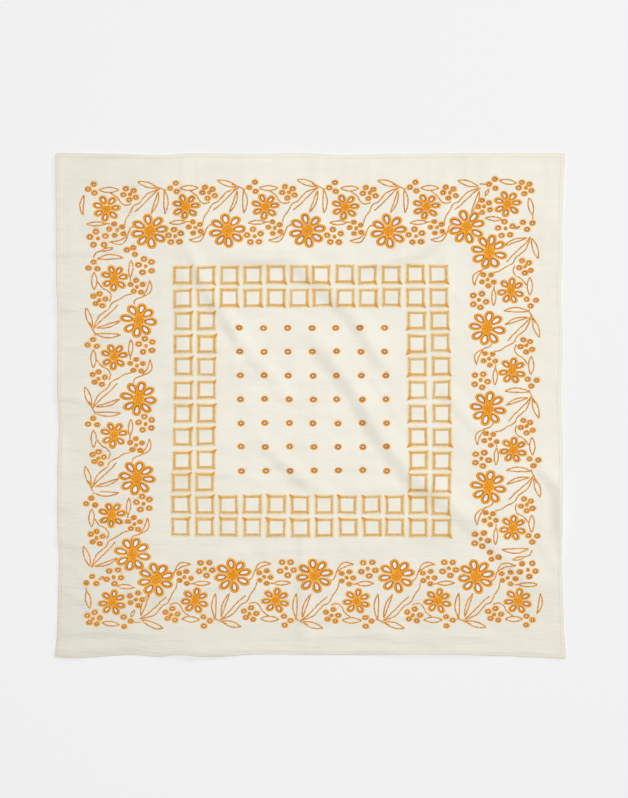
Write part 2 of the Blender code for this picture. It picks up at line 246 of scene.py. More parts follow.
@dataclass(frozen=True)
class Drape:
    """How the flat square lies: its plan between the hems, and its height over the surface."""

    half_x: float = 273.0
    half_y: float = 270.5
    slack: float = 2.4
    slack_fade: int = 4
    fold_end: float = 26.0
    fold_end_share: float = 0.35
    hem_width: float = HEM_WIDTH
    hem_step: float = 1.0
    hem_thickness: float = 0.75
    hem_round: float = 0.7
    hem_edge_share: float = 0.6
    gauze_thickness: float = 0.35
    stitch_clearance: float = 0.3
    crinkles: tuple[Crinkle, ...] = (
        Crinkle(cell=(52.0, 8.5), height=1.9, turn=3.0, seed=11, toward=(-1.2, -0.5)),
        Crinkle(cell=(34.0, 38.0), height=1.5, turn=-38.0, seed=12),
        Crinkle(cell=(8.0, 60.0), height=0.9, turn=0.0, seed=13, toward=(0.0, 0.8)),
        Crinkle(cell=(18.0, 7.5), height=0.6, turn=-6.0, seed=14),
    )

    @staticmethod
    def inset(hem: tuple[Bow, ...], along: np.ndarray) -> np.ndarray:
        """How far a hem stands in.

        Args:
            hem: The rows of one hem.
            along: Places along it, from -1 to 1.

        Returns:
            The inset at each place, eased from row to row.
        """
        stops = np.array([row.along for row in hem])
        insets = np.array([row.inset for row in hem])
        after = np.clip(np.searchsorted(stops, along), 1, len(hem) - 1)
        share = (along - stops[after - 1]) / (stops[after] - stops[after - 1])
        share = 0.5 - 0.5 * np.cos(math.pi * np.clip(share, 0.0, 1.0))
        return insets[after - 1] + share * (insets[after] - insets[after - 1])

    def plan(self, flat: np.ndarray) -> np.ndarray:
        """Carry places of the flat cloth to where they lie, in plan.

        Args:
            flat: Places (u, v), one a row.

        Returns:
            The laid places (x, y), one a row.
        """
        across = flat[:, 0] / (FLAT_SIDE / 2)
        up = flat[:, 1] / (FLAT_SIDE / 2)
        side = np.where(across > 0, self.inset(RIGHT_HEM, up), self.inset(LEFT_HEM, up))
        end = np.where(up > 0, self.inset(TOP_HEM, across), self.inset(BOTTOM_HEM, across))
        ease_x = np.sign(across) * np.abs(across) ** self.slack_fade
        ease_y = np.sign(up) * np.abs(up) ** self.slack_fade
        x = across * (self.half_x - self.slack) + ease_x * (self.slack - side)
        y = up * (self.half_y - self.slack) + ease_y * (self.slack - end)
        return np.column_stack([x, y])

    def ridge(self, laid: np.ndarray, crease: Crease) -> np.ndarray:
        """Height of one crease.

        Args:
            laid: Places on the laid cloth, one a row.
            crease: The ridge, which dies away towards its ends.

        Returns:
            The height at each place.
        """
        line = np.array(crease.line, float)
        runs = np.diff(line, axis=0)
        lengths = np.linalg.norm(runs, axis=1)
        before = np.concatenate([[0.0], np.cumsum(lengths)])
        nearest = np.full(len(laid), np.inf)
        travelled = np.zeros(len(laid))
        for start, run, length, gone in zip(line, runs, lengths, before):
            offset = laid - start
            share = np.clip(offset @ run / length**2, 0.0, 1.0)
            gap = np.hypot(offset[:, 0] - share * run[0], offset[:, 1] - share * run[1])
            closer = gap < nearest
            nearest = np.where(closer, gap, nearest)
            travelled = np.where(closer, gone + share * length, travelled)
        to_end = np.minimum(travelled, before[-1] - travelled)
        end = self.fold_end_share + (1 - self.fold_end_share) * np.clip(to_end / self.fold_end, 0, 1)
        return crease.height * end * (0.5 + 0.5 * np.cos(math.pi * np.clip(nearest / crease.spread, 0, 1)))

    def lift(self, laid: np.ndarray) -> np.ndarray:
        """Height of the cloth's underside.

        Args:
            laid: Places on the laid cloth, one a row.

        Returns:
            The height of the folds at each place, with wrinkles and rippling on them.
        """
        folds = np.max([self.ridge(laid, fold) for fold in FOLDS], axis=0)
        wrinkles = np.sum([self.ridge(laid, wrinkle) for wrinkle in WRINKLES], axis=0)
        return folds + wrinkles + np.sum([crinkle.rise(laid) for crinkle in self.crinkles], axis=0)

    def inside_hem(self, flat: np.ndarray) -> np.ndarray:
        """Tell the single cloth from its hem.

        Args:
            flat: Places (u, v), one a row.

        Returns:
            0 on the hem and 1 inside it, with a soft step between.
        """
        edge = FLAT_SIDE / 2 - np.abs(flat).max(axis=1)
        share = (edge - self.hem_width + self.hem_step / 2) / self.hem_step
        return soft_step(np.clip(share, 0.0, 1.0))

    def thickness(self, flat: np.ndarray) -> np.ndarray:
        """Thickness of the cloth, which is turned twice at the hem.

        Args:
            flat: Places (u, v), one a row.

        Returns:
            The thickness at each place. It is rounded off at the very edge.
        """
        edge = FLAT_SIDE / 2 - np.abs(flat).max(axis=1)
        turn = np.clip(edge / self.hem_round, 0.0, 1.0)
        swell = self.hem_edge_share + (1 - self.hem_edge_share) * np.sqrt(1 - (1 - turn) ** 2)
        hem = self.hem_thickness * swell
        inside = self.inside_hem(flat)
        return inside * self.gauze_thickness + (1 - inside) * hem

    def place(self, flat: np.ndarray, height: np.ndarray | float) -> np.ndarray:
        """Carry points from the flat cloth to where they are as it lies.

        Args:
            flat: Places (u, v), one a row.
            height: Heights over the cloth's upper face.

        Returns:
            Points in metres, one a row.
        """
        laid = self.plan(flat)
        top = self.lift(laid) + self.inside_hem(flat) * self.stitch_clearance + self.thickness(flat)
        return np.column_stack([laid, top + height]) * MM


class Wiring:
    """Adds shader nodes to a tree and joins them."""

    # The colour sockets of a mixing node, which also has some for numbers and vectors
    FIRST_COLOUR = 6
    SECOND_COLOUR = 7
    MIXED_COLOUR = 2

    def __init__(self, tree: bpy.types.NodeTree) -> None:
        """Keep the tree that the nodes go in."""
        self.tree = tree

    def join(self, source: Source, socket: bpy.types.NodeSocket) -> None:
        """Link an output to an input, or set a plain value on it.

        Args:
            source: The output or the value.
            socket: The input.
        """
        if isinstance(source, bpy.types.NodeSocket):
            self.tree.links.new(source, socket)
        else:
            socket.default_value = source

    def add(self, kind: str, **settings: object) -> bpy.types.Node:
        """Add a node.

        Args:
            kind: Blender's name for the node.
            settings: Values for the node's own properties.

        Returns:
            The new node.
        """
        node = self.tree.nodes.new(kind)
        for name, value in settings.items():
            setattr(node, name, value)
        return node

    def maths(self, operation: str, first: Source, second: Source = 0.0) -> bpy.types.NodeSocket:
        """Work out one number.

        Args:
            operation: Blender's name for the sum.
            first: Its first value.
            second: Its second value, where it has one.

        Returns:
            The socket that holds the result.
        """
        node = self.add("ShaderNodeMath", operation=operation)
        self.join(first, node.inputs[0])
        self.join(second, node.inputs[1])
        return node.outputs[0]

    def plus(self, first: Source, second: Source, share: Source) -> bpy.types.NodeSocket:
        """Add a share of a second value to a first one."""
        return self.maths("ADD", first, self.maths("MULTIPLY", second, share))

    def ramp(self, value: Source, low: float, high: float) -> bpy.types.NodeSocket:
        """Turn a stretch of a value into 0 to 1, softly at both ends.

        Args:
            value: The value.
            low: Where the stretch starts.
            high: Where it ends.

        Returns:
            The socket that holds the result.
        """
        node = self.add("ShaderNodeMapRange", interpolation_type="SMOOTHSTEP")
        self.join(value, node.inputs["Value"])
        node.inputs["From Min"].default_value = low
        node.inputs["From Max"].default_value = high
        return node.outputs[0]

    def blend(self, share: Source, first: Source, second: Source) -> bpy.types.NodeSocket:
        """Mix two colours.

        Args:
            share: How much of the second colour there is.
            first: The first colour.
            second: The second colour.

        Returns:
            The socket that holds the mixed colour.
        """
        node = self.add("ShaderNodeMix", data_type="RGBA")
        self.join(share, node.inputs[0])
        self.join(first, node.inputs[self.FIRST_COLOUR])
        self.join(second, node.inputs[self.SECOND_COLOUR])
        return node.outputs[self.MIXED_COLOUR]

    def noise(self, place: Source, stretch: Sequence[float], detail: float = 2.0) -> bpy.types.NodeSocket:
        """Smooth noise over a place in millimetres.

        Args:
            place: The place that it is read at.
            stretch: The size of its grain each way.
            detail: How many finer layers it has.

        Returns:
            The socket that holds the noise, from 0 to 1.
        """
        spread = self.add("ShaderNodeMapping")
        self.join(place, spread.inputs["Vector"])
        spread.inputs["Scale"].default_value = [1 / size for size in stretch]
        node = self.add("ShaderNodeTexNoise", noise_dimensions="3D")
        self.join(spread.outputs[0], node.inputs["Vector"])
        node.inputs["Scale"].default_value = 1.0
        node.inputs["Detail"].default_value = detail
        return node.outputs[0]

    def sine(self, value: Source, pitch: Source) -> bpy.types.NodeSocket:
        """A wave from 0 to 1 with a crest at nought.

        Args:
            value: Where on the wave it is.
            pitch: How far apart the crests are.

        Returns:
            The socket that holds the wave's height.
        """
        turns = self.maths("DIVIDE", value, pitch)
        wave = self.maths("COSINE", self.maths("MULTIPLY", turns, 2 * math.pi))
        return self.maths("ADD", self.maths("MULTIPLY", wave, 0.5), 0.5)

    def bump(self, height: Source, shader: bpy.types.Node) -> None:
        """Raise a surface, as the light sees it.

        Args:
            height: How far, in millimetres.
            shader: The surface's shader.
        """
        node = self.add("ShaderNodeBump")
        node.inputs["Distance"].default_value = MM
        self.join(height, node.inputs["Height"])
        self.join(node.outputs[0], shader.inputs["Normal"])


def node_group(name: str, inputs: Sequence[tuple], outputs: Sequence[tuple]) -> bpy.types.NodeTree:
    """Start a shader node group.

    Args:
        name: Its name.
        inputs: The name, kind and first value of each input.
        outputs: The name and kind of each output.

    Returns:
        The group's tree, which holds its input and output nodes.
    """
    tree = bpy.data.node_groups.new(name, "ShaderNodeTree")
    for label, kind, value in inputs:
        socket = tree.interface.new_socket(name=label, in_out="INPUT", socket_type=kind)
        if value is not None:
            socket.default_value = value
    for label, kind in outputs:
        tree.interface.new_socket(name=label, in_out="OUTPUT", socket_type=kind)
    tree.nodes.new("NodeGroupInput")
    tree.nodes.new("NodeGroupOutput")
    return tree


# How much painted light the crest of a thread and its plies get, how much its fibres lighten it at random,
# and the tone that changes nothing
CREST_LIGHT = 0.30
PLY_LIGHT = 0.10
FIBRE_LIGHT = 0.35
EVEN_TONE = 0.38
# How far the crest and the plies stand up, and the size of the fibres
CREST_RISE = 0.07
PLY_RISE = 0.03
PLY_PITCH = 0.6
FIBRE_GRAIN = (0.12, 1.6, 1.0)
FIBRE_DETAIL = 3.0


def twisted_thread_group() -> bpy.types.NodeTree:
    """Twisted thread: its plies, painted light on its crest and painted shade between neighbours, and its
    colour.

    Returns:
        The group. Strand is the place across and along the thread: a whole number across is a crest.
    """
    name = "Twisted thread"
    if name in bpy.data.node_groups:
        return bpy.data.node_groups[name]
    tree = node_group(
        name,
        [
            ("Strand", "NodeSocketVector", None),
            ("Tone", "NodeSocketFloat", 0.5),
            ("Ply Pitch", "NodeSocketFloat", PLY_PITCH),
            ("Dark", "NodeSocketColor", None),
            ("Light", "NodeSocketColor", None),
        ],
        [("Colour", "NodeSocketColor"), ("Height", "NodeSocketFloat")],
    )
    wiring = Wiring(tree)
    given = tree.nodes["Group Input"].outputs
    parts = wiring.add("ShaderNodeSeparateXYZ")
    wiring.join(given["Strand"], parts.inputs[0])
    across, along = parts.outputs[0], parts.outputs[1]
    crest = wiring.sine(across, 1.0)
    slant = wiring.maths("ADD", wiring.maths("DIVIDE", along, given["Ply Pitch"]), across)
    ply = wiring.sine(slant, 1.0)
    fibre = wiring.noise(given["Strand"], FIBRE_GRAIN, FIBRE_DETAIL)
    # Painted light on the crest and on each ply, painted shade between them
    shade = wiring.maths("MULTIPLY", crest, CREST_LIGHT)
    shade = wiring.plus(shade, ply, PLY_LIGHT)
    shade = wiring.plus(shade, fibre, FIBRE_LIGHT)
    shade = wiring.maths("ADD", shade, wiring.maths("SUBTRACT", given["Tone"], EVEN_TONE))
    height = wiring.plus(wiring.maths("MULTIPLY", crest, CREST_RISE), ply, PLY_RISE)
    made = tree.nodes["Group Output"].inputs
    wiring.join(wiring.blend(wiring.ramp(shade, 0.0, 1.0), given["Dark"], given["Light"]), made["Colour"])
    wiring.join(height, made["Height"])
    return tree


# The gauze: how far apart its yarns are and how far it is crushed
YARN_PITCH = 0.45
CRUSH = 0.2
# The size of each kind of unevenness across and along the cloth
DRIFT_GRAIN = (14.0, 14.0, 1.0)
WEFT_SLUB_GRAIN = (42.0, 0.8, 1.0)
WARP_SLUB_GRAIN = (0.8, 56.0, 1.0)
CRUSH_GRAIN = (26.0, 3.2, 1.0)
MOTTLE_GRAIN = (48.0, 40.0, 1.0)
MOTTLE_DETAIL = 3.0
# How far the yarns drift aside, what noise makes a slub, and how far yarns and slubs stand up
WARP_DRIFT = 1.6
WEFT_DRIFT = 1.2
SLUB_NOISE = (0.42, 0.74)
WARP_SLUB_SHARE = 0.8
YARN_RISE = 0.035
SLUB_RISE = 0.03


def gauze_weave_group() -> bpy.types.NodeTree:
    """Plain weave of fine uneven yarn, crushed a little along the weft.

    Returns:
        The group. Flat is the place on the flat cloth in millimetres.
    """
    name = "Gauze weave"
    if name in bpy.data.node_groups:
        return bpy.data.node_groups[name]
    tree = node_group(
        name,
        [
            ("Flat", "NodeSocketVector", None),
            ("Yarn Pitch", "NodeSocketFloat", YARN_PITCH),
            ("Crush", "NodeSocketFloat", CRUSH),
        ],
        [("Height", "NodeSocketFloat"), ("Slub", "NodeSocketFloat"), ("Mottle", "NodeSocketFloat")],
    )
    wiring = Wiring(tree)
    given = tree.nodes["Group Input"].outputs
    parts = wiring.add("ShaderNodeSeparateXYZ")
    wiring.join(given["Flat"], parts.inputs[0])
    drift = wiring.noise(given["Flat"], DRIFT_GRAIN, 1.0)
    warp = wiring.sine(wiring.plus(parts.outputs[0], drift, WARP_DRIFT), given["Yarn Pitch"])
    weft = wiring.sine(wiring.plus(parts.outputs[1], drift, WEFT_DRIFT), given["Yarn Pitch"])
    weave = wiring.maths("MULTIPLY", wiring.maths("ADD", warp, weft), YARN_RISE)
    weft_slub = wiring.ramp(wiring.noise(given["Flat"], WEFT_SLUB_GRAIN, 1.0), *SLUB_NOISE)
    warp_slub = wiring.ramp(wiring.noise(given["Flat"], WARP_SLUB_GRAIN, 1.0), *SLUB_NOISE)
    slub = wiring.maths("MAXIMUM", weft_slub, wiring.maths("MULTIPLY", warp_slub, WARP_SLUB_SHARE))
    crush = wiring.noise(given["Flat"], CRUSH_GRAIN)
    height = wiring.plus(wiring.plus(weave, slub, SLUB_RISE), crush, given["Crush"])
    mottle = wiring.noise(given["Flat"], MOTTLE_GRAIN, MOTTLE_DETAIL)
    made = tree.nodes["Group Output"].inputs
    wiring.join(height, made["Height"])
    wiring.join(slub, made["Slub"])
    wiring.join(mottle, made["Mottle"])
    return tree


def principled(
    name: str, roughness: float, specular: float, sheen: float = 0.0
) -> tuple[bpy.types.Material, Wiring, bpy.types.Node]:
    """Start a material.

    Args:
        name: Its name.
        roughness: How matt it is.
        specular: How much it shines.
        sheen: How much its fine fuzz catches the light.

    Returns:
        The material, the wiring of its tree, and its surface shader.
    """
    material = bpy.data.materials.new(name)
    material.use_nodes = True
    shader = material.node_tree.nodes["Principled BSDF"]
    shader.inputs["Roughness"].default_value = roughness
    shader.inputs["Specular IOR Level"].default_value = specular
    shader.inputs["Sheen Weight"].default_value = sheen
    return material, Wiring(material.node_tree), shader


@dataclass(frozen=True)
class GauzeFinish:
    """Undyed cotton gauze: matt, a little sheer, with slubs, deeper in colour where it is doubled, and with
    painted shade towards its lower left corner.
    """

    light: Colour = (0.930, 0.902, 0.800, 1.0)
    deep: Colour = (0.880, 0.852, 0.745, 1.0)
    slub: Colour = (0.900, 0.868, 0.750, 1.0)
    hem: Colour = (0.900, 0.865, 0.735, 1.0)
    mottle: Spot = (0.3, 0.75)
    slub_share: float = 0.55
    yarn_pitch: float = YARN_PITCH
    crush: float = 0.42
    low_left_crush: float = 0.9
    low_left_reach: Spot = (0.45, -0.05)
    # How dark the painted shade towards the lower left corner is
    shade: float = 0.16
    hem_width: float = HEM_WIDTH
    hem_blur: float = 1.0
    hem_grain: tuple[float, float, float] = (20.0, 20.0, 1.0)
    hem_share: float = 0.8
    roughness: float = 0.9
    sheen: float = 0.12
    specular: float = 0.25

    def material(self) -> bpy.types.Material:
        """Make the cloth's material.

        Returns:
            The material, which reads the flat cloth's own map.
        """
        material, wiring, shader = principled("cotton gauze", self.roughness, self.specular, self.sheen)
        flat = wiring.add("ShaderNodeUVMap", uv_map="Flat")
        spread = wiring.add("ShaderNodeMapping")
        wiring.join(flat.outputs[0], spread.inputs["Vector"])
        spread.inputs["Scale"].default_value = (FLAT_SIDE, FLAT_SIDE, 1.0)
        weave = wiring.add("ShaderNodeGroup", node_tree=gauze_weave_group())
        wiring.join(spread.outputs[0], weave.inputs["Flat"])
        weave.inputs["Yarn Pitch"].default_value = self.yarn_pitch
        low_left = self.low_left(wiring, flat.outputs[0])
        crush = wiring.maths("ADD", wiring.maths("MULTIPLY", low_left, self.low_left_crush), self.crush)
        wiring.join(crush, weave.inputs["Crush"])
        tint = wiring.blend(wiring.ramp(weave.outputs["Mottle"], *self.mottle), self.light, self.deep)
        slub = wiring.maths("MULTIPLY", weave.outputs["Slub"], self.slub_share)
        tint = wiring.blend(slub, tint, self.slub)
        tint = wiring.blend(self.hem_mask(wiring, spread.outputs[0]), tint, self.hem)
        # Painted shade: the colour darkens towards black near the lower left corner
        tint = wiring.blend(wiring.maths("MULTIPLY", low_left, self.shade), tint, BLACK)
        wiring.join(tint, shader.inputs["Base Color"])
        wiring.bump(weave.outputs["Height"], shader)
        return material

    def low_left(self, wiring: Wiring, flat: Source) -> bpy.types.NodeSocket:
        """How near a place is to the cloth's left and lower hems, where it is more crushed and has painted
        shade.

        Args:
            wiring: The wiring of the material's tree.
            flat: The place on the cloth from its lower left corner, from 0 to 1 each way.

        Returns:
            The socket that holds 1 in the lower left corner, 0.5 at either hem and 0 further in.
        """
        parts = wiring.add("ShaderNodeSeparateXYZ")
        wiring.join(flat, parts.inputs[0])
        left = wiring.ramp(parts.outputs[0], *self.low_left_reach)
        low = wiring.ramp(parts.outputs[1], *self.low_left_reach)
        return wiring.maths("MULTIPLY", wiring.maths("ADD", left, low), 0.5)

    def hem_mask(self, wiring: Wiring, flat: Source) -> bpy.types.NodeSocket:
        """Where the cloth is turned twice.

        Args:
            wiring: The wiring of the material's tree.
            flat: The place on the cloth from its lower left corner, in millimetres.

        Returns:
            The socket that holds 1 on the hem and 0 inside it.
        """
        parts = wiring.add("ShaderNodeSeparateXYZ")
        wiring.join(flat, parts.inputs[0])
        gaps = []
        for place in parts.outputs[:2]:
            gaps.append(wiring.maths("MINIMUM", place, wiring.maths("SUBTRACT", FLAT_SIDE, place)))
        wander = wiring.noise(flat, self.hem_grain)
        edge = wiring.maths("ADD", wiring.maths("MINIMUM", gaps[0], gaps[1]), wander)
        inside = wiring.ramp(edge, self.hem_width, self.hem_width + self.hem_blur)
        return wiring.maths("MULTIPLY", wiring.maths("SUBTRACT", 1.0, inside), self.hem_share)


@dataclass(frozen=True)
class ThreadFinish:
    """Embroidery thread: twisted, with a soft shine, lighter or darker from stitch to stitch, and with
    painted light and shade over each thread.
    """

    name: str
    dark: Colour
    light: Colour
    ply_pitch: float = PLY_PITCH
    roughness: float = 0.48
    sheen: float = 0.05
    specular: float = 0.2

    def material(self) -> bpy.types.Material:
        """Make the thread's material.

        Returns:
            The material, which reads each piece's own strand map and tone.
        """
        material, wiring, shader = principled(self.name, self.roughness, self.specular, self.sheen)
        strand = wiring.add("ShaderNodeUVMap", uv_map="Strand")
        tone = wiring.add("ShaderNodeAttribute", attribute_name="tone")
        thread = wiring.add("ShaderNodeGroup", node_tree=twisted_thread_group())
        wiring.join(strand.outputs[0], thread.inputs["Strand"])
        wiring.join(tone.outputs["Fac"], thread.inputs["Tone"])
        thread.inputs["Ply Pitch"].default_value = self.ply_pitch
        thread.inputs["Dark"].default_value = self.dark
        thread.inputs["Light"].default_value = self.light
        wiring.join(thread.outputs["Colour"], shader.inputs["Base Color"])
        wiring.bump(thread.outputs["Height"], shader)
        return material


# Each thread's dark and light colours are its shaded and lit copies: painted shade and painted light mix
# between them, with its tone from stitch to stitch
SATIN_THREAD = ThreadFinish("satin thread", (0.64, 0.185, 0.002, 1.0), (1.0, 0.445, 0.010, 1.0))
BAR_THREAD = ThreadFinish("square thread", (0.78, 0.270, 0.012, 1.0), (1.0, 0.680, 0.140, 1.0))
LINE_THREAD = ThreadFinish("line thread", (0.70, 0.225, 0.003, 1.0), (1.0, 0.460, 0.010, 1.0))
HEM_THREAD = ThreadFinish("hem thread", (0.70, 0.66, 0.54, 1.0), (0.86, 0.83, 0.72, 1.0), ply_pitch=0.5)


QUAD = 4


@dataclass
class Pattern:
    """A small closed shape that is repeated in stitches: its points and the corners of its faces."""

    points: np.ndarray
    corners: np.ndarray
    counts: np.ndarray

    @classmethod
    def read(cls, shape: bmesh.types.BMesh) -> "Pattern":
        """Take a shape's points and faces, and free it.

        Args:
            shape: The shape.

        Returns:
            The pattern of it.
        """
        mesh = bpy.data.meshes.new("pattern")
        shape.to_mesh(mesh)
        shape.free()
        points = np.empty(len(mesh.vertices) * 3)
        mesh.vertices.foreach_get("co", points)
        corners = np.empty(len(mesh.loops), int)
        mesh.loops.foreach_get("vertex_index", corners)
        counts = np.empty(len(mesh.polygons), int)
        mesh.polygons.foreach_get("loop_total", counts)
        bpy.data.meshes.remove(mesh)
        return cls(points.reshape(-1, 3), corners, counts)

    @classmethod
    def spun(cls, section: Sequence[Spot], columns: int, radius: float) -> tuple["Pattern", np.ndarray]:
        """Spin a closed section once round the upright axis.

        Args:
            section: How far out and how high each of its points is.
            columns: How many steps the round has.
            radius: How far out the section's own nought is.

        Returns:
            The pattern, whose faces have four corners, and the column that each of its points is in.
        """
        ring = bmesh.new()
        points = [ring.verts.new((radius + across, 0.0, rise)) for across, rise in section]
        edges = [ring.edges.new((points[i - 1], points[i])) for i in range(len(points))]
        bmesh.ops.spin(
            ring,
            geom=points + edges,
            cent=(0, 0, 0),
            axis=(0, 0, 1),
            angle=2 * math.pi,
            steps=columns,
            use_merge=True,
        )
        bmesh.ops.recalc_face_normals(ring, faces=ring.faces[:])
        pattern = cls.read(ring)
        turns = np.arctan2(pattern.points[:, 1], pattern.points[:, 0]) / (2 * math.pi)
        return pattern, np.rint(turns * columns).astype(int) % columns

    def by_face(self, values: np.ndarray) -> np.ndarray:
        """Give each face of four corners the values of its points, faces by corners."""
        return values[self.corners].reshape(-1, QUAD)


@dataclass
class Needlework:
    """Copies of small shapes on the flat cloth, gathered to become one piece."""

    name: str
    finish: ThreadFinish
    points: list[np.ndarray] = field(default_factory=list)
    corners: list[np.ndarray] = field(default_factory=list)
    counts: list[np.ndarray] = field(default_factory=list)
    strands: list[np.ndarray] = field(default_factory=list)
    tones: list[np.ndarray] = field(default_factory=list)
    total: int = 0

    def add(self, pattern: Pattern, placed: np.ndarray, strands: np.ndarray, tones: np.ndarray) -> None:
        """Add copies of a shape.

        Args:
            pattern: The shape.
            placed: Each copy's points as (u, v, height), copies by points by 3.
            strands: Each copy's place across and along the thread, copies by face corners by 2.
            tones: How light each copy is, from 0 to 1, or each point of each copy.
        """
        copies, each, _ = placed.shape
        first = self.total + each * np.arange(copies)[:, None]
        self.points.append(placed.reshape(-1, 3))
        self.corners.append((pattern.corners[None] + first).ravel())
        self.counts.append(np.tile(pattern.counts, copies))
        self.strands.append(strands.reshape(-1, 2))
        self.tones.append(np.repeat(tones, each) if tones.ndim == 1 else tones.ravel())
        self.total += copies * each

    def sew(self, drape: Drape) -> bpy.types.Object:
        """Lay all the copies on the cloth as one piece.

        Args:
            drape: How the cloth lies.

        Returns:
            The new object, on the body and with its material.
        """
        flat = np.concatenate(self.points)
        corners = np.concatenate(self.corners)
        counts = np.concatenate(self.counts)
        mesh = bpy.data.meshes.new(self.name)
        mesh.vertices.add(len(flat))
        mesh.vertices.foreach_set("co", drape.place(flat[:, :2], flat[:, 2]).ravel())
        mesh.loops.add(len(corners))
        mesh.loops.foreach_set("vertex_index", corners)
        mesh.polygons.add(len(counts))
        mesh.polygons.foreach_set("loop_start", np.cumsum(counts) - counts)
        mesh.update(calc_edges=True)
        mesh.uv_layers.new(name="Strand").data.foreach_set("uv", np.concatenate(self.strands).ravel())
        tone = mesh.attributes.new("tone", "FLOAT", "POINT")
        tone.data.foreach_set("value", np.concatenate(self.tones))
        mesh.validate()
        mesh.shade_smooth()
        return dress(self.name, mesh, self.finish.material())


def dress(name: str, mesh: bpy.types.Mesh, material: bpy.types.Material) -> bpy.types.Object:
    """Make a finished piece of a mesh.

    Args:
        name: The piece's name.
        mesh: Its mesh, in place.
        material: What it is made of.

    Returns:
        The new object, which rides on the body.
    """
    mesh.materials.append(material)
    piece = bpy.data.objects.new(name, mesh)
    bpy.context.scene.collection.objects.link(piece)
    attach(piece, "root")
    log.info("%s: %d triangles", name, sum(len(face.vertices) - 2 for face in mesh.polygons))
    return piece


class Side(Enum):
    """The four sides of the border: where the chart's two directions point on the cloth."""

    TOP = ((1, 0), (0, 1))
    BOTTOM = ((-1, 0), (0, -1))
    LEFT = ((0, -1), (-1, 0))
    RIGHT = ((0, 1), (1, 0))

    def spots(self, chart: Sequence[Spot]) -> np.ndarray:
        """Carry places of the chart to the flat cloth, as far out of true as they were worked."""
        chart = np.array(chart, float)
        return (chart + self.stray(chart)) @ np.array(self.value, float) + BORDER_SHIFT

    def stray(self, chart: np.ndarray) -> np.ndarray:
        """How far the needlework is from the chart.

        Args:
            chart: Places of the chart, one a row.

        Returns:
            How far along and out it strays at each place.
        """
        rows = STRAYS[self]
        stops = [row.along for row in rows]
        share = (chart[:, 1] - INNER_OUT) / (OUTER_OUT - INNER_OUT)
        share = np.clip(share, -PAST_ENDS, 1 + PAST_ENDS)
        found = []
        for way in range(2):
            inner = np.interp(chart[:, 0], stops, [row.inner[way] for row in rows])
            outer = np.interp(chart[:, 0], stops, [row.outer[way] for row in rows])
            found.append(inner + share * (outer - inner))
        return np.column_stack(found)

    def turn(self, degrees: float) -> float:
        """Carry a direction of the chart to the flat cloth.

        Args:
            degrees: The direction, from the way along.

        Returns:
            The direction on the cloth, in radians.
        """
        ahead = np.array([math.cos(math.radians(degrees)), math.sin(math.radians(degrees))])
        u, v = ahead @ np.array(self.value, float)
        return math.atan2(v, u)


class Stray(NamedTuple):
    """How far the needlework strays at a place along a side: near the squares and near the hem."""

    along: float
    inner: Spot
    outer: Spot


BORDER_SHIFT = (2.4, 3.2)
INNER_OUT = 187.0
OUTER_OUT = 232.0
PAST_ENDS = 0.2
STRAYS = {
    Side.TOP: (
        Stray(-235.0, (1.5, -0.5), (2.0, -2.5)),
        Stray(-212.0, (6.0, -1.5), (4.0, -2.0)),
        Stray(-150.0, (2.5, 1.0), (2.5, -0.5)),
        Stray(-90.0, (1.0, 1.0), (1.0, -0.5)),
        Stray(-5.0, (0.5, 1.0), (0.5, 0.0)),
        Stray(80.0, (-0.5, 0.5), (-1.0, 0.0)),
        Stray(165.0, (-0.5, 1.5), (-2.0, -0.5)),
        Stray(200.0, (0.0, -0.5), (-0.5, -1.5)),
    ),
    Side.BOTTOM: (
        Stray(-235.0, (0.5, 2.0), (6.0, 1.5)),
        Stray(-212.0, (5.5, 0.5), (4.5, 2.0)),
        Stray(-150.0, (4.0, 0.5), (5.5, 3.5)),
        Stray(-90.0, (4.0, 1.0), (5.5, 4.0)),
        Stray(-5.0, (5.5, 0.5), (6.5, 4.0)),
        Stray(80.0, (5.0, 0.0), (6.0, 2.0)),
        Stray(165.0, (3.5, 0.5), (2.5, 3.0)),
        Stray(200.0, (6.5, -0.5), (6.5, -0.5)),
    ),
    Side.LEFT: (
        Stray(-150.0, (2.0, 0.0), (3.0, 1.0)),
        Stray(-90.0, (2.0, 0.0), (0.5, 2.5)),
        Stray(-5.0, (0.0, 0.0), (-0.5, 3.0)),
        Stray(80.0, (-2.0, 2.0), (-2.5, 3.5)),
        Stray(165.0, (-3.0, 3.5), (-3.0, 5.5)),
    ),
    Side.RIGHT: (
        Stray(-150.0, (3.0, 1.5), (5.0, 3.0)),
        Stray(-90.0, (3.5, 2.0), (1.5, 4.0)),
        Stray(-5.0, (2.0, 2.0), (1.0, 3.0)),
        Stray(80.0, (1.0, 0.5), (0.5, 2.5)),
        Stray(165.0, (-1.0, -1.0), (-1.5, 1.5)),
    ),
}
ALL_SIDES = (Side.TOP, Side.RIGHT, Side.BOTTOM, Side.LEFT)
ENDS = (Side.TOP, Side.BOTTOM)


@dataclass(frozen=True)
class Rim:
    """The satin rim round one kind of cut hole: its width at the hole's sides, tip and heel."""

    side: float
    tip: float
    heel: float
    height: float
    columns: int
    cut_steps: int


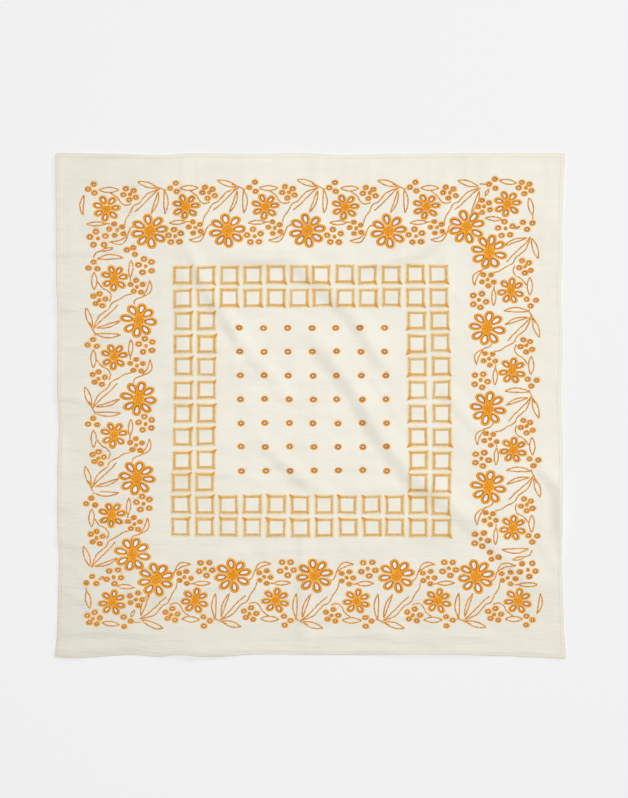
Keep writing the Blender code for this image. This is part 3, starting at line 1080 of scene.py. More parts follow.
class Eyelet(NamedTuple):
    """A cut hole on the flat cloth. It is egg shaped, with its fat end where its turn points.

    A petal's reach is how far it is from its flower's middle, and its room is half of the angle
    between it and its neighbours.
    """

    centre: Spot
    turn: float
    length: float
    width: float
    taper: float
    tone: float
    reach: float = 0.0
    room: float = 0.0

    def outline(self, angles: np.ndarray) -> tuple[np.ndarray, np.ndarray, np.ndarray, np.ndarray]:
        """The hole's edge, from the hole's own middle.

        Args:
            angles: Places round the hole, in radians from its fat end.

        Returns:
            How far ahead and aside each place is, and how far ahead and aside the edge runs there.
        """
        ahead = self.length / 2 * np.cos(angles)
        aside = self.width / 2 * (1 + self.taper * np.cos(angles)) * np.sin(angles)
        run_ahead = -self.length / 2 * np.sin(angles)
        run_aside = self.width / 2 * (np.cos(angles) + self.taper * np.cos(2 * angles))
        return ahead, aside, run_ahead, run_aside

    def edge(self, angles: np.ndarray, out: np.ndarray | float) -> np.ndarray:
        """Places at a distance out from the hole's edge.

        Args:
            angles: Places round the hole, in radians from its fat end.
            out: How far outside the edge.

        Returns:
            Places (u, v), one a row. The thread draws the cloth in one way more than the other.
        """
        ahead, aside, run_ahead, run_aside = self.outline(angles)
        size = np.hypot(run_ahead, run_aside)
        ahead = ahead + run_aside / size * out
        aside = aside - run_ahead / size * out
        u = ahead * math.cos(self.turn) - aside * math.sin(self.turn)
        v = ahead * math.sin(self.turn) + aside * math.cos(self.turn)
        return np.column_stack([self.centre[0] + PULL[0] * u, self.centre[1] + PULL[1] * v])

    def fit(self, angles: np.ndarray, width: np.ndarray) -> np.ndarray:
        """Narrow a rim where it would run over the petal beside it.

        Args:
            angles: Places round the hole, in radians from its fat end.
            width: The rim's width at each of them.

        Returns:
            The width that there is room for, so that neighbours meet in a seam.
        """
        if not self.room:
            return width
        ahead, aside, run_ahead, run_aside = self.outline(angles)
        slope = math.tan(self.room)
        closing = (np.abs(run_ahead) - run_aside * slope) / np.hypot(run_ahead, run_aside)
        closing = np.maximum(closing, LEAST_CLOSING)
        gap = (self.reach + ahead) * slope - np.abs(aside)
        return np.minimum(width, gap / closing + SEAM_OVERLAP)

    def steps(self, count: int) -> np.ndarray:
        """Places that are the same distance apart along the hole's edge.

        Args:
            count: How many.

        Returns:
            The angle of each, in radians from the hole's fat end.
        """
        fine = np.linspace(0, 2 * math.pi, EDGE_PLACES)
        runs = np.linalg.norm(np.diff(self.edge(fine, 0.0), axis=0), axis=1)
        travelled = np.concatenate([[0.0], np.cumsum(runs)])
        return np.interp(np.arange(count) / count * travelled[-1], travelled, fine)

    def cut(self, rim: Rim) -> np.ndarray:
        """The line that the cloth is cut on, which the rim covers."""
        return self.edge(self.steps(rim.cut_steps), CUT_SHARE * rim.side)


PULL = (1.08, 0.90)
CUT_SHARE = 0.4
SEAM_OVERLAP = 0.4
LEAST_CLOSING = 0.01
EDGE_PLACES = 181
BERRY_COVER = 2.18

LARGE_PETAL_RIM = Rim(side=3.25, tip=3.8, heel=5.6, height=0.5, columns=88, cut_steps=22)
SMALL_PETAL_RIM = Rim(side=3.0, tip=3.5, heel=4.6, height=0.45, columns=64, cut_steps=18)
BERRY_RIM = Rim(side=2.8, tip=2.8, heel=2.8, height=0.4, columns=40, cut_steps=10)
DOT_RIM = Rim(side=2.85, tip=2.85, heel=2.85, height=0.4, columns=40, cut_steps=10)


@dataclass
class SatinRims:
    """Satin stitch over the cut edges of one kind of hole."""

    rim: Rim
    eyelets: list[Eyelet]
    depth: float = 0.45
    groove: float = 0.84
    groove_width: float = 0.97
    strand_length: float = 4.0
    tip_spread: int = 2
    heel_spread: int = 6

    # From the hole's inner wall over the crest to the outer foot: share of the width, and of the height
    PROFILE = ((-0.09, -1.0), (0.14, 0.32), (0.46, 1.0), (0.64, 0.84), (1.0, -1.0))
    # Tone added at each row of the section: painted shade on the hole's inner wall and on the outer foot,
    # painted light on the crest
    PAINTED_LIGHT_AND_SHADE = (-0.3, -0.8, 0.35, 0.0, -1.3)
    # How much of the foot's painted shade is taken off at the heel, where the petals meet in the flower's
    # heart
    HEEL_LIGHT = 0.55
    RING_RADIUS = 2.0

    def ring(self) -> tuple[Pattern, np.ndarray, np.ndarray]:
        """Spin the rim's section once round.

        Returns:
            The ring, and the column and the row of the section that each of its points is at.
        """
        pattern, columns = Pattern.spun(self.PROFILE, self.rim.columns, self.RING_RADIUS)
        across = np.hypot(*pattern.points[:, :2].T) - self.RING_RADIUS
        found = np.column_stack([across, pattern.points[:, 2]])
        gaps = np.linalg.norm(found[:, None] - np.array(self.PROFILE)[None], axis=2)
        return pattern, columns, gaps.argmin(axis=1)

    def strand(self, pattern: Pattern, columns: np.ndarray, rows: np.ndarray) -> np.ndarray:
        """The place across and along the thread at each face corner.

        Args:
            pattern: The ring.
            columns: The column of each of its points.
            rows: The row of the section of each of its points.

        Returns:
            Two numbers for each face corner. Two columns make one thread.
        """
        round_ring = pattern.by_face(columns).astype(float)
        round_ring[(np.ptp(round_ring, axis=1) > 1)[:, None] & (round_ring == 0)] = self.rim.columns
        over = pattern.by_face(rows).astype(float)
        over[(np.ptp(over, axis=1) > 1)[:, None] & (over == 0)] = len(self.PROFILE)
        along = over.ravel() / len(self.PROFILE) * self.strand_length
        return np.column_stack([round_ring.ravel() / 2, along])

    def work(self, needlework: Needlework) -> None:
        """Stitch a rim on every hole.

        Args:
            needlework: The piece that they belong to.
        """
        pattern, columns, rows = self.ring()
        strand = self.strand(pattern, columns, rows)
        across, rise = np.array(self.PROFILE).T
        crest = np.where(np.arange(self.rim.columns) % 2 == 0, 1.0, self.groove)
        shade = np.array(self.PAINTED_LIGHT_AND_SHADE)[rows]
        foot = rows == len(self.PAINTED_LIGHT_AND_SHADE) - 1
        fullness = self.groove_width + (1 - self.groove_width) * crest
        placed = []
        tones = []
        for eyelet in self.eyelets:
            angles = eyelet.steps(self.rim.columns)
            toward_tip = np.clip(np.cos(angles), 0, 1) ** self.tip_spread
            toward_heel = np.clip(-np.cos(angles), 0, 1) ** self.heel_spread
            width = self.rim.side + (self.rim.tip - self.rim.side) * toward_tip
            width += (self.rim.heel - self.rim.side) * toward_heel
            width = eyelet.fit(angles, width)
            out = across[rows] * (width * fullness)[columns]
            height = np.where(rise > 0, rise * self.rim.height, rise * self.depth)[rows]
            height = np.where(height > 0, height * crest[columns], height)
            placed.append(np.column_stack([eyelet.edge(angles[columns], out), height]))
            # Painted shade on the rows, with less of it on the foot at the heel
            lit = np.where(foot & (eyelet.room > 0), 1 - self.HEEL_LIGHT * toward_heel[columns], 1.0)
            tones.append(eyelet.tone + shade * lit)
        strands = np.broadcast_to(strand, (len(placed), *strand.shape))
        needlework.add(pattern, np.array(placed), strands, np.clip(tones, 0.0, 1.0))


@dataclass
class Stitches:
    """Single stitches from one place to another, each a slim closed spindle of thread."""

    width: float
    height: float
    sides: int = 5
    rings: int = 4
    depth: float = 0.25
    rise: float = 0.0
    fullness: float = 0.6

    def spindle(self) -> Pattern:
        """Make one stitch's shape.

        Returns:
            A ball of few faces with its poles at the stitch's two ends.
        """
        ball = bmesh.new()
        bmesh.ops.create_uvsphere(ball, u_segments=self.sides, v_segments=self.rings, radius=1.0)
        lay_down = Matrix.Rotation(math.pi / 2, 3, "Y")
        bmesh.ops.rotate(ball, cent=(0, 0, 0), matrix=lay_down, verts=ball.verts[:])
        bmesh.ops.recalc_face_normals(ball, faces=ball.faces[:])
        return Pattern.read(ball)

    def add_to(self, needlework: Needlework, ends: np.ndarray, tones: np.ndarray) -> None:
        """Sew stitches.

        Args:
            needlework: The piece that they belong to.
            ends: Where each stitch starts and stops, stitches by 2 by 2.
            tones: How light each stitch is.
        """
        pattern = self.spindle()
        points = pattern.points
        middle = ends.mean(axis=1)
        run = ends[:, 1] - ends[:, 0]
        length = np.linalg.norm(run, axis=1)
        ahead = run / length[:, None]
        aside = np.column_stack([-ahead[:, 1], ahead[:, 0]])
        along = np.sign(points[:, 0]) * np.abs(points[:, 0]) ** self.fullness
        flat = middle[:, None] + ahead[:, None] * (along[None] * length[:, None] / 2)[..., None]
        flat = flat + aside[:, None] * (points[:, 1] * self.width / 2)[None, :, None]
        height = np.where(points[:, 2] > 0, points[:, 2] * self.height, points[:, 2] * self.depth)
        height = np.broadcast_to(height + self.rise, flat.shape[:2])
        around = np.abs(np.arctan2(points[:, 1], points[:, 2])) / math.pi
        corners = pattern.corners
        strands = np.empty((len(ends), len(corners), 2))
        strands[..., 0] = around[corners]
        strands[..., 1] = (along[corners][None] + 1) * length[:, None] / 2
        needlework.add(pattern, np.dstack([flat, height]), strands, tones)


SMOOTH_STEPS = 8


def smooth_line(spots: np.ndarray, step: float) -> np.ndarray:
    """Draw a smooth line through places.

    Args:
        spots: The places that it passes.
        step: The distance between the points that come back.

    Returns:
        Points the same distance apart along the line, its two ends included.
    """
    ends = np.vstack([2 * spots[0] - spots[1], spots, 2 * spots[-1] - spots[-2]])
    fine = []
    # A Catmull-Rom curve between the two middle places of each four
    for before, start, stop, after in zip(ends, ends[1:], ends[2:], ends[3:]):
        for t in np.linspace(0, 1, SMOOTH_STEPS, endpoint=False):
            bend = (2 * before - 5 * start + 4 * stop - after) * t**2
            swing = (3 * start - before - 3 * stop + after) * t**3
            fine.append(start + 0.5 * ((stop - before) * t + bend + swing))
    fine.append(ends[-2])
    fine = np.array(fine)
    travelled = np.concatenate([[0.0], np.cumsum(np.linalg.norm(np.diff(fine, axis=0), axis=1))])
    count = max(1, round(travelled[-1] / step))
    stops = np.linspace(0, travelled[-1], count + 1)
    return np.column_stack([np.interp(stops, travelled, fine[:, i]) for i in range(2)])


@dataclass(frozen=True)
class FlowerKind:
    """An eyelet flower: its petals and the satin disc at its heart.

    Its sway turns each petal by so many degrees, and its strays move it on each side in turn.
    """

    petals: int
    reach: float
    length: float
    width: float
    taper: float
    heart: float
    sway: tuple[float, ...]
    strays: tuple[Spot, Spot, Spot, Spot]


class Heart(NamedTuple):
    """The satin disc in a flower, and how many petals stand round it from its first one's turn on."""

    centre: np.ndarray
    radius: float
    turn: float
    petals: int


class Leaf(NamedTuple):
    """An outlined leaf, from its base to its tip. Its bow is how far its middle is bent to the left."""

    base: Spot
    tip: Spot
    width: float
    bow: float = 0.0


class Cluster(NamedTuple):
    """Berries round a satin dot, at places counted from the dot."""

    dot: Spot
    berry: float
    around: tuple[Spot, ...]


class Flower(NamedTuple):
    """Where a flower is on the chart, and which way its first petal points."""

    spot: Spot
    turn: float


LARGE_FLOWER = FlowerKind(
    petals=8,
    reach=12.4,
    length=8.9,
    width=4.3,
    taper=0.22,
    heart=5.8,
    sway=(-3, -5, -1, 3, 2, -3, -4, -2),
    strays=((-1.0, -0.5), (-2.8, 0.8), (-2.2, 0.8), (0.0, 0.8)),
)
SMALL_FLOWER = FlowerKind(
    petals=7,
    reach=9.4,
    length=6.1,
    width=2.9,
    taper=0.22,
    heart=4.5,
    sway=(1, -2, 3, 1, 0, -3, 2),
    strays=((-0.8, -1.0), (-1.8, -0.2), (-1.7, -0.3), (0.0, -1.4)),
)

# One repeat of the border, from its own middle
REPEAT_OUT = 187.0
REPEATS = (-179.0, -92.0, -5.0, 83.5, 171.0)
LARGE_PLACES = (
    *(Flower((along, REPEAT_OUT), 11.0) for along in REPEATS[1:-1]),
    Flower((168.0, 190.5), 16.0),
)
SMALL_PLACES = tuple(Flower((along + 41.0, 214.0), 5.0) for along in REPEATS[:-1])
LARGE_CORNER_PLACES = (Flower((-178.7, 187.9), 11.0),)
SMALL_CORNER_PLACES = (
    Flower((-224.0, 214.0), 5.0),
    Flower((211.5, 218.0), 5.0),
)
UPPER_CLUSTER = Cluster(
    (-21.3, 41.3), 6.9, ((-4.3, 6.0), (3.9, 3.9), (-7.4, -0.1), (6.1, -3.2), (-1.7, -6.2))
)
INNER_CLUSTER = Cluster(
    (-36.5, 2.4), 6.5, ((-2.7, 6.6), (5.0, 3.5), (-7.1, 0.7), (5.7, -4.1), (-2.5, -5.9))
)
FLOWER_CLUSTER = Cluster(
    (28.4, -6.8), 7.3, ((-1.8, 7.5), (-8.1, 1.6), (6.5, 3.1), (-4.7, -6.3), (4.8, -6.2))
)
SPRIG = ((28.9, 52.9), (22.7, 47.4), (29.8, 43.3))
SPRIG_BERRY = 6.9
SPRAY_LEAF = Leaf((16.5, 45.0), (16.6, 19.0), 4.8, 1.5)
REPEAT_LEAVES = (
    Leaf((-33.2, 46.4), (-53.3, 46.7), 5.6),
    Leaf((9.3, 48.4), (-12.5, 55.0), 5.5),
    Leaf((9.7, 43.6), (1.0, 19.5), 3.5, 1.5),
    Leaf((-46.5, 9.0), (-65.5, 8.3), 4.4),
    Leaf((-26.0, -3.5), (-43.6, -11.1), 4.6, 3.6),
)
# The first stem is the one to the sprig, which the last repeat of a side is without
REPEAT_STEMS = (
    ((3.8, 50.9), (9.3, 48.8), (14.2, 46.7), (16.6, 45.0), (18.3, 46.0)),
    ((-41.9, 42.8), (-39.1, 41.2), (-34.9, 37.7), (-32.9, 33.6), (-29.4, 30.1), (-25.3, 29.1), (-20.4, 30.8)),
    (
        *((9.3, 46.7), (3.8, 44.6), (-2.4, 41.9), (-6.6, 37.7), (-10.0, 33.6), (-12.8, 30.8)),
        *((-17.0, 29.4), (-19.7, 26.0), (-22.5, 20.4), (-26.6, 14.9), (-28.0, 10.7), (-28.4, 8.0)),
    ),
    ((11.1, 47.1), (5.2, 42.6), (0.3, 37.7), (-5.2, 32.2), (-9.3, 28.0), (-13.5, 24.6), (-16.6, 22.1)),
    ((-46.5, 9.0), (-43.1, 9.3)),
    ((-25.6, -3.5), (-24.6, -0.3), (-23.2, 3.1), (-20.4, 5.5), (-17.6, 5.2)),
)

# What only the corners have: the first is worked top right and, turned half round, bottom left
DEEP_CORNER_CLUSTERS = (
    Cluster((185.7, 213.9), 6.7, ((-2.2, 6.6), (5.4, 3.8), (-6.2, -0.7), (6.0, -3.8), (-2.1, -6.9))),
    Cluster((230.5, 234.6), 6.9, UPPER_CLUSTER.around),
    Cluster((208.8, 190.2), 7.0, ((-1.2, 7.2), (7.4, 2.4), (-8.2, 0.6), (4.8, -6.8), (-4.7, -7.6))),
)
DEEP_CORNER_BERRIES = (
    (197.1, 244.0),
    (190.8, 238.0),
    (197.6, 234.0),
    (227.4, 196.6),
    (237.9, 195.9),
    (232.1, 189.1),
)
DEEP_CORNER_LEAVES = (
    Leaf((190.7, 233.4), (186.9, 225.1), 2.5),
    Leaf((220.7, 239.6), (201.7, 242.4), 5.0),
    Leaf((233.8, 223.7), (237.9, 205.0), 5.5),
    Leaf((224.8, 192.5), (219.3, 189.7), 2.4),
    Leaf((204.9, 200.1), (186.9, 201.1), 4.5),
)
DEEP_CORNER_STEMS = (
    ((181.4, 238.0), (184.6, 238.2), (187.6, 238.2)),
    ((237.9, 205.0), (238.6, 200.8)),
)
OPEN_CORNER_CLUSTERS = (
    Cluster((-232.8, 179.2), 7.2, ((-1.9, 7.5), (6.6, 3.1), (-8.0, 1.4), (5.2, -6.1), (-4.2, -6.8))),
)
OPEN_CORNER_BERRIES = ((-198.9, 169.9), (-206.1, 167.4), (-196.8, 162.3))
OPEN_CORNER_LEAVES = (
    Leaf((-247.3, 227.7), (-248.6, 205.2), 4.0, -2.0),
    Leaf((-230.0, 165.6), (-219.5, 169.4), 3.0),
    Leaf((-233.5, 156.6), (-210.0, 159.1), 5.0, 2.0),
)
OPEN_CORNER_STEMS = (((-230.0, 165.6), (-234.2, 163.9), (-236.3, 160.4), (-237.0, 158.0)),)


@dataclass
class BorderChart:
    """The flower border, read side by side onto the flat cloth.

    Each jitter is how uneven a size or a place is, and each pair of tones is the range they lie in.
    """

    seed: int = 5
    sway_jitter: float = 1.0
    reach_jitter: float = 0.18
    length_jitter: float = 0.04
    width_jitter: float = 0.06
    petal_tones: Spot = (0.45, 0.65)
    berry_jitter: float = 0.15
    berry_hole_jitter: float = 0.12
    berry_oval: float = 0.04
    berry_tones: Spot = (0.4, 0.7)
    leaf_places: int = 9
    leaf_fullness: float = 0.85
    large_petals: list[Eyelet] = field(default_factory=list)
    small_petals: list[Eyelet] = field(default_factory=list)
    berries: list[Eyelet] = field(default_factory=list)
    dots: list[np.ndarray] = field(default_factory=list)
    hearts: list[Heart] = field(default_factory=list)
    lines: list[np.ndarray] = field(default_factory=list)

    def __post_init__(self) -> None:
        """Read the whole chart."""
        self.draw = np.random.default_rng(self.seed)
        for side in ALL_SIDES:
            self.read_side(side)
        for side in ENDS:
            self.read_corners(side)

    def petals(self, side: Side, kind: FlowerKind, flower: Flower) -> list[Eyelet]:
        """The holes of one flower, a little uneven.

        Args:
            side: The side of the border that it is on.
            kind: The flower's sizes.
            flower: Its place on the chart.

        Returns:
            One hole for each petal.
        """
        centre = side.spots([np.array(flower.spot) + kind.strays[ALL_SIDES.index(side)]])[0]
        self.hearts.append(Heart(centre, kind.heart, side.turn(flower.turn), kind.petals))
        holes = []
        for petal in range(kind.petals):
            sway = kind.sway[petal] + self.draw.normal(0.0, self.sway_jitter)
            turn = side.turn(flower.turn + FULL_TURN * petal / kind.petals + sway)
            reach = kind.reach + self.draw.normal(0.0, self.reach_jitter)
            spot = centre + reach * np.array([math.cos(turn), math.sin(turn)])
            length = kind.length * self.draw.normal(1.0, self.length_jitter)
            width = kind.width * self.draw.normal(1.0, self.width_jitter)
            tone = float(self.draw.uniform(*self.petal_tones))
            room = math.pi / kind.petals
            holes.append(Eyelet(tuple(spot), turn, length, width, kind.taper, tone, reach, room))
        return holes

    def add_berries(self, side: Side, spots: Sequence[Spot], across: float) -> None:
        """Work round berries.

        Args:
            side: The side of the border that they are on.
            spots: Their places on the chart.
            across: Their outer diameter.
        """
        for spot in side.spots(spots):
            spot = spot + self.draw.normal(0.0, self.berry_jitter, 2)
            hole = across - 2 * BERRY_COVER + self.draw.normal(0.0, self.berry_hole_jitter)
            turn = float(self.draw.uniform(0, 2 * math.pi))
            tone = float(self.draw.uniform(*self.berry_tones))
            length = hole * (1 + self.berry_oval)
            width = hole * (1 - self.berry_oval)
            self.berries.append(Eyelet(tuple(spot), turn, length, width, 0.0, tone))

    def add_cluster(self, side: Side, cluster: Cluster, shift: Spot = (0.0, 0.0)) -> None:
        """Work a satin dot with its berries.

        Args:
            side: The side of the border that it is on.
            cluster: The dot and the berries.
            shift: Where the cluster's own origin is on the chart.
        """
        dot = (cluster.dot[0] + shift[0], cluster.dot[1] + shift[1])
        self.dots.append(side.spots([dot])[0])
        self.add_berries(side, [(dot[0] + a, dot[1] + o) for a, o in cluster.around], cluster.berry)

    def add_leaf(self, side: Side, leaf: Leaf, shift: Spot = (0.0, 0.0)) -> None:
        """Draw a leaf's two edges.

        Args:
            side: The side of the border that it is on.
            leaf: The leaf.
            shift: Where the leaf's own origin is on the chart.
        """
        base = np.array(leaf.base) + shift
        run = np.array(leaf.tip) + shift - base
        length = np.linalg.norm(run)
        left = np.array([-run[1], run[0]]) / length
        share = np.linspace(0, 1, self.leaf_places)
        middle = base + share[:, None] * run + left * (leaf.bow * np.sin(math.pi * share))[:, None]
        swell = leaf.width / 2 * np.sin(math.pi * share) ** self.leaf_fullness
        for hand in (1, -1):
            self.lines.append(side.spots(middle + hand * left * swell[:, None]))

    def read_side(self, side: Side) -> None:
        """Read what one side repeats.

        Args:
            side: The side of the border.
        """
        for flower in LARGE_PLACES:
            self.large_petals += self.petals(side, LARGE_FLOWER, flower)
        for flower in SMALL_PLACES:
            self.small_petals += self.petals(side, SMALL_FLOWER, flower)
        repeats = REPEATS if side in ENDS else REPEATS[1:]
        for along in repeats:
            shift = (along, REPEAT_OUT)
            self.add_cluster(side, UPPER_CLUSTER, shift)
            self.add_cluster(side, INNER_CLUSTER, shift)
            for leaf in REPEAT_LEAVES:
                self.add_leaf(side, leaf, shift)
            if along != REPEATS[-1]:
                self.add_leaf(side, SPRAY_LEAF, shift)
            for stem in REPEAT_STEMS if along != REPEATS[-1] else REPEAT_STEMS[1:]:
                self.lines.append(side.spots(np.array(stem) + shift))
        for along in REPEATS[:-1]:
            self.add_cluster(side, FLOWER_CLUSTER, (along, REPEAT_OUT))
        first = 2 * REPEATS[0] - REPEATS[1]
        sprigs = (first, *REPEATS[:-1]) if side in ENDS else REPEATS[:-1]
        for along in sprigs:
            self.add_berries(side, [(a + along, o + REPEAT_OUT) for a, o in SPRIG], SPRIG_BERRY)

    def read_corners(self, side: Side) -> None:
        """Read the corner at each end of one side, which the two upright sides share.

        Args:
            side: The side of the border.
        """
        for flower in LARGE_CORNER_PLACES:
            self.large_petals += self.petals(side, LARGE_FLOWER, flower)
        for flower in SMALL_CORNER_PLACES:
            self.small_petals += self.petals(side, SMALL_FLOWER, flower)
        for cluster in DEEP_CORNER_CLUSTERS + OPEN_CORNER_CLUSTERS:
            self.add_cluster(side, cluster)
        self.add_berries(side, DEEP_CORNER_BERRIES + OPEN_CORNER_BERRIES, SPRIG_BERRY)
        for leaf in DEEP_CORNER_LEAVES + OPEN_CORNER_LEAVES:
            self.add_leaf(side, leaf)
        for stem in DEEP_CORNER_STEMS + OPEN_CORNER_STEMS:
            self.lines.append(side.spots(stem))


@dataclass
class EyeletField:
    """The small round eyelets in the middle of the cloth."""

    rows: int = 7
    middle: Spot = (2.8, 7.4)
    pitch: Spot = (26.1, 25.9)
    skew: float = 0.42
    jitter: float = 0.35
    hole: float = 2.9
    oval: float = 0.05
    tones: Spot = (0.25, 0.5)
    seed: int = 7

    def eyelets(self) -> list[Eyelet]:
        """Place the eyelets row by row, a little unevenly.

        Returns:
            The eyelets.
        """
        draw = np.random.default_rng(self.seed)
        found = []
        half = (self.rows - 1) / 2
        length = self.hole * (1 + self.oval)
        width = self.hole * (1 - self.oval)
        for row in range(self.rows):
            for column in range(self.rows):
                u = self.middle[0] + self.pitch[0] * (column - half)
                u += self.skew * (row - half) + draw.normal(0.0, self.jitter)
                v = self.middle[1] - self.pitch[1] * (row - half) + draw.normal(0.0, self.jitter)
                turn = float(draw.uniform(0, 2 * math.pi))
                tone = float(draw.uniform(*self.tones))
                found.append(Eyelet((u, v), turn, length, width, 0.0, tone))
        return found


class Thick(Enum):
    """The corner of a square where its thread starts and ends, so that the stitches pile up there."""

    BOTTOM_LEFT = 0
    BOTTOM_RIGHT = 1
    TOP_RIGHT = 2
    TOP_LEFT = 3


@dataclass
class StitchedSquares:
    """The frame of outlined squares, two deep, round the field of eyelets.

    A bar is one edge of a square. Its stitches lie across it and stand out in teeth, and they
    shorten towards its mitred ends. The knot is the pile of stitches in a square's thick corner.
    """

    count: int = 12
    deep: int = 2
    middle: Spot = (1.1, 4.8)
    pitch: Spot = (25.2, 24.95)
    side: float = 21.0
    bar: float = 3.95
    jitter: float = 0.42
    middle_jitter: float = 0.25
    stitch_pitch: float = 0.74
    pitch_shares: Spot = (0.88, 1.14)
    place_jitter: float = 0.05
    mitre_slope: float = 1.1
    mitre_least: float = 0.3
    tooth_stitches: float = 3.3
    tooth: float = 1.2
    tooth_jitter: float = 0.15
    tooth_tone: float = 0.75
    tones: Spot = (0.75, 0.90)
    tone_jitter: float = 0.12
    slant: float = 0.35
    stitches: Stitches = field(default_factory=lambda: Stitches(0.90, 0.10, sides=3, depth=0.45, rise=0.20))
    knot: Stitches = field(default_factory=lambda: Stitches(0.7, 0.4, sides=4, rise=0.1))
    knot_stitches: int = 9
    knot_fan: float = 24.0
    knot_fan_jitter: float = 0.05
    knot_start: float = 0.2
    knot_start_jitter: float = 0.15
    knot_reach: Spot = (0.8, 1.1)
    knot_tones: Spot = (0.1, 0.45)
    seed: int = 9

    CORNERS = ((-0.5, -0.5), (0.5, -0.5), (0.5, 0.5), (-0.5, 0.5))
    # How far squares are from their places, at these rows and columns
    STOPS = (0, 4, 8, 11)
    STRAYS = (
        ((0.0, 0.0), (-0.6, 1.0), (-2.8, 1.2), (-1.6, 1.5)),
        ((0.5, 0.8), (0.0, 0.0), (0.0, 0.0), (1.4, 0.8)),
        ((-1.2, -1.0), (0.0, 0.0), (0.0, 0.0), (2.4, -2.0)),
        ((-3.0, 0.8), (0.0, 0.0), (2.2, 0.4), (1.2, 0.0)),
    )

    def stray(self, row: int, column: int) -> np.ndarray:
        """How far a square is from its place.

        Args:
            row: Its row, from the top.
            column: Its column, from the left.

        Returns:
            How far right and up it is, eased between the places that STRAYS gives.
        """
        table = np.array(self.STRAYS, float)
        found = []
        for way in range(2):
            across = [np.interp(row, self.STOPS, table[:, stop, way]) for stop in range(len(table))]
            found.append(np.interp(column, self.STOPS, across))
        return np.array(found)

    def thick_corner(self, row: int, column: int) -> Thick:
        """Which corner of a square is thick.

        Args:
            row: Its row, from the top.
            column: Its column, from the left.

        Returns:
            The corner. It follows the way that each side of the frame was worked.
        """
        last = self.count - 1
        if row >= last - 1 and 1 < column < last:
            return Thick.TOP_LEFT
        if column == 0 or (column == 1 and row > 0):
            return Thick.TOP_RIGHT
        if column >= last - 1 and row > 1:
            return Thick.BOTTOM_RIGHT if column == last else Thick.BOTTOM_LEFT
        return Thick.BOTTOM_RIGHT

    def bar_stitches(self, outer: np.ndarray, inner: np.ndarray, draw: np.random.Generator) -> np.ndarray:
        """Stitches across one bar of a square.

        Args:
            outer: The two ends of its outer edge.
            inner: The two ends of its inner edge.
            draw: Where its unevenness comes from.

        Returns:
            The two ends of each stitch. At the mitred ends they are shorter.
        """
        length = np.linalg.norm(outer[1] - outer[0])
        pitch = self.stitch_pitch * draw.uniform(*self.pitch_shares)
        place = np.arange(pitch / 2, length, pitch)
        place = place + draw.normal(0.0, self.place_jitter, len(place))
        ahead = (outer[1] - outer[0]) / length
        inward = np.array([-ahead[1], ahead[0]])
        deep_start = (inner[0] - outer[0]) @ inward
        deep_end = (inner[1] - outer[1]) @ inward
        depth = deep_start + (deep_end - deep_start) * place / length
        to_end = np.minimum(place, length - place)
        reach = np.minimum(depth, to_end * self.mitre_slope + self.mitre_least)
        sway = np.where(np.arange(len(place)) % 2 == 0, self.slant, -self.slant) * reach / self.bar
        start = outer[0] + ahead * (place + sway / 2)[:, None]
        stop = outer[0] + ahead * (place - sway / 2)[:, None] + inward * reach[:, None]
        fray = self.tooth * self.teeth(len(place)) + draw.normal(0.0, self.tooth_jitter, len(place))
        return np.stack([start + inward * fray[:, None], stop], axis=1)

    def teeth(self, count: int) -> np.ndarray:
        """How far each stitch of a bar is along its tooth, from -1 where it stands out to 1."""
        return np.cos(2 * math.pi * np.arange(count) / self.tooth_stitches)

    def work(self, needlework: Needlework) -> None:
        """Stitch every square.

        Args:
            needlework: The piece that they belong to.
        """
        draw = np.random.default_rng(self.seed)
        unit = np.array(self.CORNERS)
        half = (self.count - 1) / 2
        ends = []
        tones = []
        piles = []
        for row in range(self.count):
            for column in range(self.count):
                if self.deep <= row < self.count - self.deep and self.deep <= column < self.count - self.deep:
                    continue
                centre = np.array(self.middle) + draw.normal(0.0, self.middle_jitter, 2)
                centre += self.stray(row, column)
                centre += np.array(self.pitch) * (column - half, half - row)
                outer = centre + unit * self.side + draw.normal(0.0, self.jitter, unit.shape)
                inner = centre + unit * (self.side - 2 * self.bar)
                inner += draw.normal(0.0, self.jitter / 2, unit.shape)
                for start in range(len(unit)):
                    stop = (start + 1) % len(unit)
                    bar = self.bar_stitches(outer[[start, stop]], inner[[start, stop]], draw)
                    ends.append(bar)
                    tone = draw.uniform(*self.tones) - self.tooth_tone * self.teeth(len(bar))
                    tones.append(np.clip(tone + draw.normal(0.0, self.tone_jitter, len(bar)), 0, 1))
                corner = self.thick_corner(row, column).value
                piles.append(self.pile(outer[corner], inner[corner], draw))
        self.stitches.add_to(needlework, np.concatenate(ends), np.concatenate(tones))
        piles = np.concatenate(piles)
        self.knot.add_to(needlework, piles, draw.uniform(*self.knot_tones, len(piles)))

    def pile(self, outer: np.ndarray, inner: np.ndarray, draw: np.random.Generator) -> np.ndarray:
        """The stitches piled up in a square's thick corner.

        Args:
            outer: The square's outer corner.
            inner: The inner corner beside it.
            draw: Where its unevenness comes from.

        Returns:
            The two ends of each stitch: a fan from the outer corner over the inner one.
        """
        ahead = inner - outer
        angles = np.radians(np.linspace(-self.knot_fan, self.knot_fan, self.knot_stitches))
        angles += draw.normal(0, self.knot_fan_jitter, self.knot_stitches)
        stops = []
        for angle in angles:
            turned = (
                ahead[0] * math.cos(angle) - ahead[1] * math.sin(angle),
                ahead[0] * math.sin(angle) + ahead[1] * math.cos(angle),
            )
            stops.append(outer + np.array(turned) * draw.uniform(*self.knot_reach))
        starts = np.array([outer - self.knot_start * ahead] * len(stops))
        starts += draw.normal(0, self.knot_start_jitter, (len(stops), 2))
        return np.stack([starts, np.array(stops)], axis=1)


